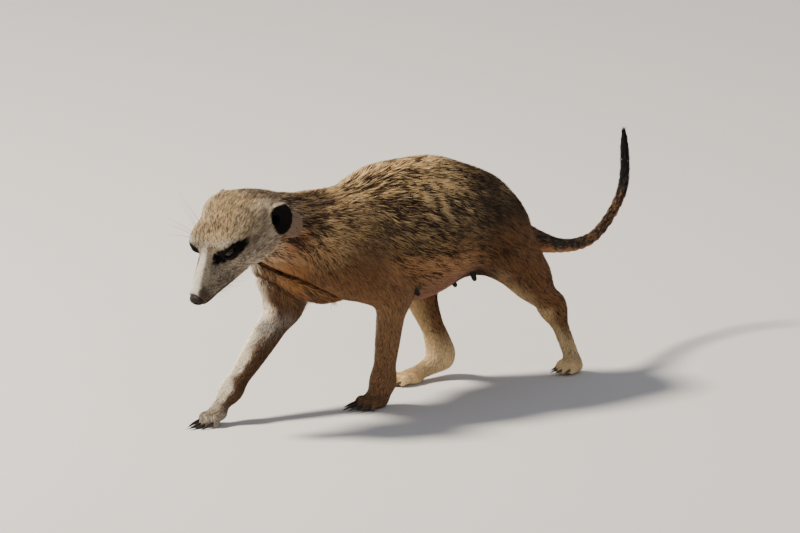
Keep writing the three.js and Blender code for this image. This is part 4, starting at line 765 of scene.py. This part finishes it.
def material(name, rough=0.6, spec=0.3, coat=0.0, attr=True, colour=(0.5, 0.5, 0.5), bump=None, vary=0.0, scale=900, sheen=0.0, coat_rough=0.1):
    mt = bpy.data.materials.new(name); mt.use_nodes = True
    nt = mt.node_tree; b = nt.nodes["Principled BSDF"]
    b.inputs["Roughness"].default_value = rough; b.inputs["Specular IOR Level"].default_value = spec
    b.inputs["Coat Weight"].default_value = coat; b.inputs["Coat Roughness"].default_value = coat_rough
    b.inputs["Sheen Weight"].default_value = sheen
    if attr:
        a = nt.nodes.new("ShaderNodeAttribute"); a.attribute_name = "Col"; src = a.outputs["Color"]
    else:
        a = nt.nodes.new("ShaderNodeRGB"); a.outputs[0].default_value = (*colour, 1); src = a.outputs[0]
    tc = nt.nodes.new("ShaderNodeTexCoord")
    if vary:
        nz = nt.nodes.new("ShaderNodeTexNoise"); nz.inputs["Scale"].default_value = scale; nz.inputs["Detail"].default_value = 3
        nt.links.new(tc.outputs["Object"], nz.inputs["Vector"])
        mp = nt.nodes.new("ShaderNodeMapRange"); mp.inputs["To Min"].default_value = 1 - vary; mp.inputs["To Max"].default_value = 1 + vary
        nt.links.new(nz.outputs["Fac"], mp.inputs["Value"])
        mul = nt.nodes.new("ShaderNodeVectorMath"); mul.operation = "SCALE"
        nt.links.new(src, mul.inputs[0]); nt.links.new(mp.outputs["Result"], mul.inputs["Scale"]); src = mul.outputs[0]
    nt.links.new(src, b.inputs["Base Color"])
    if bump:
        nz = nt.nodes.new("ShaderNodeTexNoise"); nz.inputs["Scale"].default_value = bump[0]; nz.inputs["Detail"].default_value = 4
        nt.links.new(tc.outputs["Object"], nz.inputs["Vector"])
        bp = nt.nodes.new("ShaderNodeBump"); bp.inputs["Strength"].default_value = bump[1]; bp.inputs["Distance"].default_value = bump[2]
        nt.links.new(nz.outputs["Fac"], bp.inputs["Height"]); nt.links.new(bp.outputs["Normal"], b.inputs["Normal"])
    return mt
M_SKIN = material("skin", 0.75, 0.08, bump=(1400, 0.6, 0.0004), vary=0.25, scale=1500)
M_COAT = material("coat", 0.6, 0.2)
M_EYE = material("eye", 0.07, 0.28)
M_NOSE = material("nose", 0.5, 0.22, attr=False, colour=(0.009, 0.0035, 0.0025), bump=(1500, 0.8, 0.0006), vary=0.4, scale=900, coat_rough=0.3)
M_CLAW = material("claw", 0.35, 0.5, attr=False, colour=(0.020, 0.014, 0.011), vary=0.3, scale=700)
M_CLAW_HIND = material("claw_hind", 0.4, 0.4, attr=False, colour=(0.085, 0.055, 0.036), vary=0.3, scale=700)
M_HAIR = material("whisker", 0.4, 0.4, attr=False, colour=(0.035, 0.020, 0.014))
M_HAIR_PALE = material("chin_hair", 0.45, 0.35, attr=False, colour=(0.42, 0.28, 0.18))
M_TEAT = material("teat", 0.6, 0.2, attr=False, colour=(0.014, 0.008, 0.006), bump=(1800, 0.4, 0.0003), vary=0.3, scale=700)
skin.data.materials.append(M_SKIN)

# ------------------------------------------------------------------ the coat
# an unwrap of the skin's own shape, for the skin and for the root of every tuft
bpy.context.view_layer.objects.active = skin
skin.select_set(True)
skin.data.uv_layers.new(name="OFBake")
bpy.ops.object.mode_set(mode="EDIT"); bpy.ops.mesh.select_all(action="SELECT")
bpy.ops.uv.smart_project(angle_limit=math.radians(66), island_margin=0.001)
bpy.ops.object.mode_set(mode="OBJECT")
SUV = np.empty(len(SF) * 8, f32); skin.data.uv_layers["OFBake"].data.foreach_get("uv", SUV)
SUV = SUV.reshape(len(SF), 4, 2)
tick("unwrapped")

quad = SV[SF]
area = 0.5 * np.linalg.norm(np.cross(quad[:, 2] - quad[:, 0], quad[:, 3] - quad[:, 1]), axis=1)
fm = {k: v[SF].mean(1) for k, v in SM.items() if v.ndim == 1}
dens = fm["trunk"] * 1.70 + fm["neck"] * 2.8 + fm["head"] * 7.4 + fm["legs"] * 2.8 + fm["tail"] * 3.4 + fm["feet"] * 4.0
dens = dens * (1 - fm["ear"]) + 4.0 * fm["ear"]
dens = dens * (1 - 0.3 * fm["low"]) * (1 - 0.97 * np.clip(fm["bare"], 0, 1))
fc = quad.mean(1)
in_eye = np.zeros(len(SF), bool)
qh = head_coords(fc); qh[:, 1] = np.abs(qh[:, 1])
in_eye = np.linalg.norm(qh - EYE.astype(f32), axis=1) < EYE_R + 0.85
dens = np.where(in_eye | (fc[:, 2] < 0.6), 0, dens)
cum = np.cumsum(dens * area); total = int(cum[-1])
pick = np.searchsorted(cum, (np.arange(total) + rng.random(total)) * cum[-1] / total)
pick = np.minimum(pick, len(SF) - 1)
u, v = rng.random(total), rng.random(total)
wq = np.stack([(1 - u) * (1 - v), u * (1 - v), u * v, (1 - u) * v], 1)
def lerp(a):
    return (a[SF[pick]] * (wq[..., None] if a.ndim == 2 else wq)).sum(1)
RP, RN, RT = lerp(SV.astype(float)), lerp(SN), lerp(ST)
RN /= np.linalg.norm(RN, axis=1, keepdims=True)
RM = {k: lerp(v) for k, v in SM.items()}
RUV = (SUV[pick] * wq[..., None]).sum(1)
# a lock turns a little from its neighbours, in clumps
RP32 = RP.astype(f32)
turn = 0.26 * noise(RP / 3.2, 31) + 0.14 * rng.standard_normal(total)
turn = turn * (1 - 0.4 * RM["head"])
RB = np.cross(RN, RT); RB /= np.maximum(np.linalg.norm(RB, axis=1, keepdims=True), 1e-6)
RT = np.cross(RB, RN)
RT, RB = RT * np.cos(turn)[:, None] + RB * np.sin(turn)[:, None], RB * np.cos(turn)[:, None] - RT * np.sin(turn)[:, None]
L = RM["L"] * (0.72 + 0.5 * rng.random(total)); WD = RM["wd"] * (0.7 + 0.6 * rng.random(total))
L = np.where(RM["muz"] > 0.3, L * (1 - 0.35 * RM["muz"]), L)
# the tip is laid just inside the outside of the coat
tip0 = RP + RT * L[:, None]
out = field(tip0.astype(f32), coat=False)
margin = 0.08 + 0.7 * rng.random(total) ** 1.6 * np.minimum(L / 10, 1)
h = np.clip(-out - margin, -0.6 * L, 0.42 * L)
small = RM["ear"] > 0.25
h = np.where(small, 0.16 * L, h - GROOVE(*tip0.T) * (RM["neck"] + RM["trunk"] + RM["legs"]))
tick("%d tufts" % total)
# colours: light and dark hairs mixed, in short dashes that follow the lie
al = 0.93 * RP[:, 1] - 0.36 * RP[:, 2]; ac = 0.36 * RP[:, 1] + 0.93 * RP[:, 2]
streak = noise(np.stack([al / 5.2, ac / 1.7, RP[:, 0] / 1.9], 1), 41)
fine_n = noise(RP / 1.15, 43)
st = np.where(RM["trunk"] + RM["neck"] > 0.5, streak, 0.75 * fine_n + 0.45 * streak)
cdf = np.clip(0.5 + 0.62 * st, 0, 1)
salt = np.clip(RM["head"] * 0.36 + (RM["legs"] + RM["feet"]) * 0.2, 0, 0.5)
vv = (0.42 + salt) * rng.random(total) + (0.58 - salt) * cdf
share = np.clip(RM["share"], 0, 1)
th = np.where(share < 0.5, np.sqrt(share / 2), 1 - np.sqrt((1 - share) / 2))
isdark = vv < th
val = (0.74 + 0.5 * rng.random(total))[:, None]
warm = rng.random(total)[:, None]
base = RM["light"] * val
base = base * (1 + 0.16 * (warm - 0.5) * np.array([1.0, 0.0, -1.0]))
darkc = RM["dark"] * (0.6 + 1.2 * rng.random(total))[:, None]
blk = RM["black"][:, None]
# the root is darker: a dark undercoat, and painted shade deep in the coat
root = mix(base * 0.42, darkc, 0.45)
root = root * (1 - blk) + blk * base * 0.6
mid = np.where(isdark[:, None], darkc * 1.1, base)
flip = rng.random(total)
tipc = np.where(isdark[:, None], np.where((flip < 0.22)[:, None], base * 0.9, darkc), np.where((flip < 0.12)[:, None], mix(base, darkc, 0.7), base * 1.12))
# roots are lightened on pale hair, and on the feet and head also as painted light
white = np.clip((RM["light"].mean(1) - 0.55) / 0.2, 0, 1)[:, None]
white = np.maximum(white, np.clip(0.85 * RM["feet"] + 0.32 * RM["head"], 0, 1)[:, None] * (1 - blk))
root = root * (1 - white) + white * base * 0.8

def tufts(name, sel, mat, long=True):
    n = len(sel)
    p, nn, t, b = RP[sel], RN[sel], RT[sel], RB[sel]
    ln, w, hh = L[sel][:, None], WD[sel][:, None], h[sel][:, None]
    sway = (rng.standard_normal(n) * 0.05)[:, None] * ln
    if long:
        k = np.array([[-0.5, 0.0], [0.5, 0.0], [0.0, 0.42]])
        c0 = p - nn * (0.25 + 0.1 * w)
        c1 = p + t * ln * 0.48 + nn * (hh * 0.60 + 0.012 * ln) + b * sway * 0.3
        V = np.empty((n, 7, 3))
        for i, (x, y) in enumerate(k):
            V[:, i] = c0 + b * x * w + nn * y * w
            V[:, 3 + i] = c1 + b * x * w * 0.86 + nn * y * w * 0.86
        V[:, 6] = p + t * ln + nn * hh + b * sway
        T = np.array([[0, 1, 4], [0, 4, 3], [1, 2, 5], [1, 5, 4], [2, 0, 3], [2, 3, 5], [3, 4, 6], [4, 5, 6], [5, 3, 6], [0, 2, 1]])
        col = np.concatenate([np.repeat(root[sel][:, None], 3, 1), np.repeat(mid[sel][:, None], 3, 1), tipc[sel][:, None]], 1)
        lay = np.array([[-.4, -.5], [.4, -.5], [0, -.5], [-.35, 0], [.35, 0], [0, 0], [0, .5]])
    else:
        V = np.empty((n, 4, 3))
        c0 = p - nn * 0.12
        V[:, 0] = c0 - b * w * 0.5; V[:, 1] = c0 + b * w * 0.5; V[:, 2] = c0 + nn * (0.12 + w * 0.55)
        V[:, 3] = p + t * ln + nn * hh + b * sway
        T = np.array([[0, 1, 3], [1, 2, 3], [2, 0, 3], [0, 2, 1]])
        rc = root[sel] * 0.4 + mid[sel] * 0.6
        col = np.concatenate([np.repeat(rc[:, None], 3, 1), tipc[sel][:, None]], 1)
        lay = np.array([[-.4, -.5], [.4, -.5], [0, -.5], [0, .5]])
    m = len(lay)
    V = np.clip(V, LIMIT[0] + [0.03, 0.03, 0.15], LIMIT[1] - 0.03)
    F = (T[None] + (np.arange(n) * m)[:, None, None]).reshape(-1, 3)
    uv = (RUV[sel][:, None] + lay[None] * 0.003).reshape(-1, 2)
    o = make(name, V.reshape(-1, 3), F, np.clip(col.reshape(-1, 3), 0, 1), uv[F.ravel()], smooth=False)
    o.data.materials.append(mat)
    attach(o, "root")
    return o
coat = []
short = (RM["head"] + RM["feet"] + RM["ear"]) > 0.5
longs = np.flatnonzero(~short); shorts = np.flatnonzero(short)
print("long", len(longs), "short", len(shorts))
body = longs[(RM["trunk"] + RM["neck"])[longs] >= 0.5]; limbs = longs[(RM["trunk"] + RM["neck"])[longs] < 0.5]
def spread(idx, most):
    idx = idx[rng.permutation(len(idx))]
    return np.array_split(idx, max(1, math.ceil(len(idx) / most)))
PLAN = [("coat_body", body, True, "coat_back"), ("coat_limbs", limbs, True, "coat_foreleg"), ("coat_face", shorts, False, "coat_head")]
# ------------------------------------------------------------------ nose, eyes, claws
o = at(H, [60.5, 0, -3.9])
NV, NF = surface(nose_field, *[ramp(o[k] - 7.2, o[k] + 7.2, [(o[k] + 7.2, 0.3)]) for k in range(3)])
NV = settle(nose_field, NV, 2, 0.1)
nose = make("nose_pad", NV, NF); nose.data.materials.append(M_NOSE)
def globe(r, lon=48, lat=32):
    V, T = [], []
    for i in range(lat + 1):
        for j in range(lon):
            a, b = math.pi * i / lat, 2 * math.pi * j / lon
            V.append([math.sin(a) * math.cos(b), math.sin(a) * math.sin(b), math.cos(a)])
    for i in range(lat):
        for j in range(lon):
            p, q = i * lon + j, i * lon + (j + 1) % lon
            T.append([p, p + lon, q + lon, q])
    return np.array(V) * r, np.array(T)
eyes = []
for side, s in (("left", 1), ("right", -1)):
    V, T = globe(1.0)
    m = np.array([1, s, 1])
    out, lg, up = EYE_OUT * m, EYE_LONG * m, EYE_UP * m
    ang = np.arccos(np.clip(V[:, 2], -1, 1))
    r = EYE_R + 0.35 * np.clip(1 - (ang / 0.62) ** 2, 0, 1)
    Vh = (V[:, :1] * lg + V[:, 1:2] * up + V[:, 2:] * out) * r[:, None] + EYE * m
    iris = mix(np.tile(lin((44, 25, 15)), (len(V), 1)), lin((22, 13, 9)), step(np.abs(ang - 0.45), 0, 0.2))
    col = np.where((ang < 0.26)[:, None], lin((6, 5, 5)), iris)
    col = np.where((ang > 0.66)[:, None], lin((24, 17, 14)), col)
    e = make("eyeball_" + side, np.array([at(H, p) for p in Vh]), T, col); e.data.materials.append(M_EYE)
    eyes.append(e)
def claw(F, base, r0, length, start, turn, lead, width, rings=12, sides=10):
    V, T = [], []
    p = np.array([base[0] - lead, base[1], base[2] + 0.5]); ang = math.radians(start)
    for i in range(rings + 1):
        t = i / rings; r = r0 * (1 - t) ** 0.8
        up = np.array([math.sin(ang), 0, math.cos(ang)])
        if i < rings:
            for k in range(sides):
                q = (k + 0.5) / sides * 2 * math.pi
                V.append(at(F, [p[0] + up[0] * math.sin(q) * r, p[1] + math.cos(q) * r * width, p[2] + up[2] * math.sin(q) * r]))
        else:
            V.append(at(F, p))
        ang += math.radians(turn) / rings
        st = (length + lead) / rings
        p = p + np.array([math.cos(ang) * st, 0, -math.sin(ang) * st])
    for i in range(rings - 1):
        for k in range(sides):
            a, b = i * sides + k, i * sides + (k + 1) % sides
            T += [[a, b, b + sides], [a, b + sides, a + sides]]
    last = (rings - 1) * sides
    T += [[last + k, last + (k + 1) % sides, len(V) - 1] for k in range(sides)]
    T += [[0, k + 1, k] for k in range(1, sides - 1)]
    return np.array(V), np.array(T)
def join(parts):
    V, T, n = [], [], 0
    for v, t in parts:
        V.append(v); T.append(t + n); n += len(v)
    return np.concatenate(V), np.concatenate(T)
CLAW_SET = {"fore_paw_left": (13.2, -10, 24), "fore_paw_right": (13.2, -24, 34), "hind_foot_left": (8, -6, 24), "hind_foot_right": (8, -6, 24)}
claws = {}
for n, c in enumerate(CLAWS):
    paw = list(CLAW_SET)[n // 4]; ln, start, turn = CLAW_SET[paw]
    V, T = claw(c["F"], c["base"], 1.6 if c["fore"] else 1.1, (ln - 0.6) * (1 if abs(c["i"]) < 1 else 0.86), start, turn, 1.4, 0.7)
    V[:, 2] = np.maximum(V[:, 2], 0.2)
    claws.setdefault(paw, []).append((V, T))
claw_objs = {}
for paw, parts in claws.items():
    V, T = join(parts)
    claw_objs[paw] = make("claws_" + paw, V, T); claw_objs[paw].data.materials.append(M_CLAW if "fore" in paw else M_CLAW_HIND)
def tube(P, R, sides=4):
    """A round, tapered tube along the points P."""
    P = np.asarray(P, float); n = len(P)
    d = np.gradient(P, axis=0); d /= np.linalg.norm(d, axis=1, keepdims=True)
    s = np.cross(d, [0.31, 0.87, 0.38]); s /= np.linalg.norm(s, axis=1, keepdims=True); t = np.cross(d, s)
    V = []
    for i in range(n):
        for k in range(sides):
            q = 2 * math.pi * k / sides
            V.append(P[i] + (s[i] * math.cos(q) + t[i] * math.sin(q)) * R[i])
    T = []
    for i in range(n - 1):
        for k in range(sides):
            a, b = i * sides + k, i * sides + (k + 1) % sides
            T += [[a, b, b + sides], [a, b + sides, a + sides]]
    T += [[0, k + 1, k] for k in range(1, sides - 1)] + [[(n - 1) * sides, (n - 1) * sides + k, (n - 1) * sides + k + 1] for k in range(1, sides - 1)]
    return np.array(V), np.array(T)
teats = []
for c, d, ln, r in TEATS:
    for sgn in (1, -1):
        o = settle(skin_field, np.array([[c[0] * sgn, c[1], c[2]]]), 14)[0]
        d1 = unit([d[0] * sgn, d[1], d[2]])
        teats.append(tube([o + d1 * (ln * k - 1.2) for k in (0, 0.35, 0.6, 0.85, 1.0, 1.06)], [r * k for k in (1.5, 1.15, 1.0, 0.9, 0.6, 0.15)], 10))
teat_obj = make("teats", *join(teats)); teat_obj.data.materials.append(M_TEAT)
hairs, pale_hairs = [], []
def hair(f, l, w, way, ln, r, bend, bag):
    for sgn in (1, -1):
        j = rng.standard_normal(3) * 0.10
        o = settle(skin_field, np.array([at(H, [f, l * sgn, w])]), 10)[0].astype(float)
        d = unit(way) + j; d = unit(np.array([d[0], d[1] * sgn, d[2]])) @ H[1]
        k = np.linspace(0, 1, 8)[:, None]
        for tries in range(12):
            P = o - d * 0.6 + d * ln * k + np.array([0, 0.25, -1.0]) * (bend * ln) * k ** 2
            if (P > LIMIT[0] + 0.4).all() and (P < LIMIT[1] - 0.4).all():
                break
            ln *= 0.88
        bag.append(tube(P, r * (1 - 0.85 * k[:, 0]), 3))
for i in range(6):                                # over each eye
    hair(25 + 1.5 * i, 11 + 0.4 * i, 13.5 - 0.3 * i, (-0.45 + 0.16 * i, 0.45 + 0.03 * i, 0.9 - 0.05 * i), 25 - 1.2 * i, 0.12, 0.10, hairs)
for row in range(3):                              # on the upper lip
    for i in range(4):
        f = 44 + 3.4 * i + row
        hair(f, 5, -1.5 - 1.9 * row, (-0.55 - 0.05 * row, 0.75, -0.18 - 0.1 * row), 15 - 1.5 * i, 0.10, 0.16, hairs)
for i in range(3):                                # on the cheek
    hair(12 + 2 * i, 20, -7 - i, (-0.5, 0.8, -0.5), 13, 0.09, 0.15, hairs)
for i in range(22):                               # fine pale hairs under the jaw
    f = 16 + 34 * (i + 0.5) / 22
    hair(f, 2 + 3 * rng.random(), -14, (-0.55, 0.35, -0.75), 6.5 + 3 * rng.random(), 0.075, 0.05, pale_hairs)
whiskers = make("whiskers", *join(hairs)); whiskers.data.materials.append(M_HAIR)
chin_hair = make("chin_hairs", *join(pale_hairs)); chin_hair.data.materials.append(M_HAIR_PALE)
tick("nose, eyes, claws")

for name, idx, long, slot_name in PLAN:
    for k, part in enumerate(spread(idx, 19000 if long else 48000)):
        coat.append(tufts("%s_%d" % (name, k + 1), part, M_COAT, long))
tick("coat made")
FLESH = ["upper_foreleg_left", "upper_foreleg_right", "thigh_left", "thigh_right", "forearm_left", "forearm_right", "fore_paw_left", "fore_paw_right",
         "shank_left", "shank_right", "hind_foot_left", "hind_foot_right", "neck", "thorax", "abdomen", "pelvis", "tail_1", "tail_2", "tail_3", "tail_4",
         "lower_jaw", "head", "ear_left", "ear_right"]
pieces = [skin, nose] + eyes + list(claw_objs.values())
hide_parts(*FLESH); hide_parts("nose")
for e, s in zip(eyes, ("left", "right")):
    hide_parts("eye_" + s)
for paw, ob in claw_objs.items():
    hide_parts(*["claw_%s_%d" % (paw, k) for k in (1, 2, 3, 4)])
for p in pieces + [whiskers, chin_hair, teat_obj]:
    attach(p, "root")
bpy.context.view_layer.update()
tick("done")
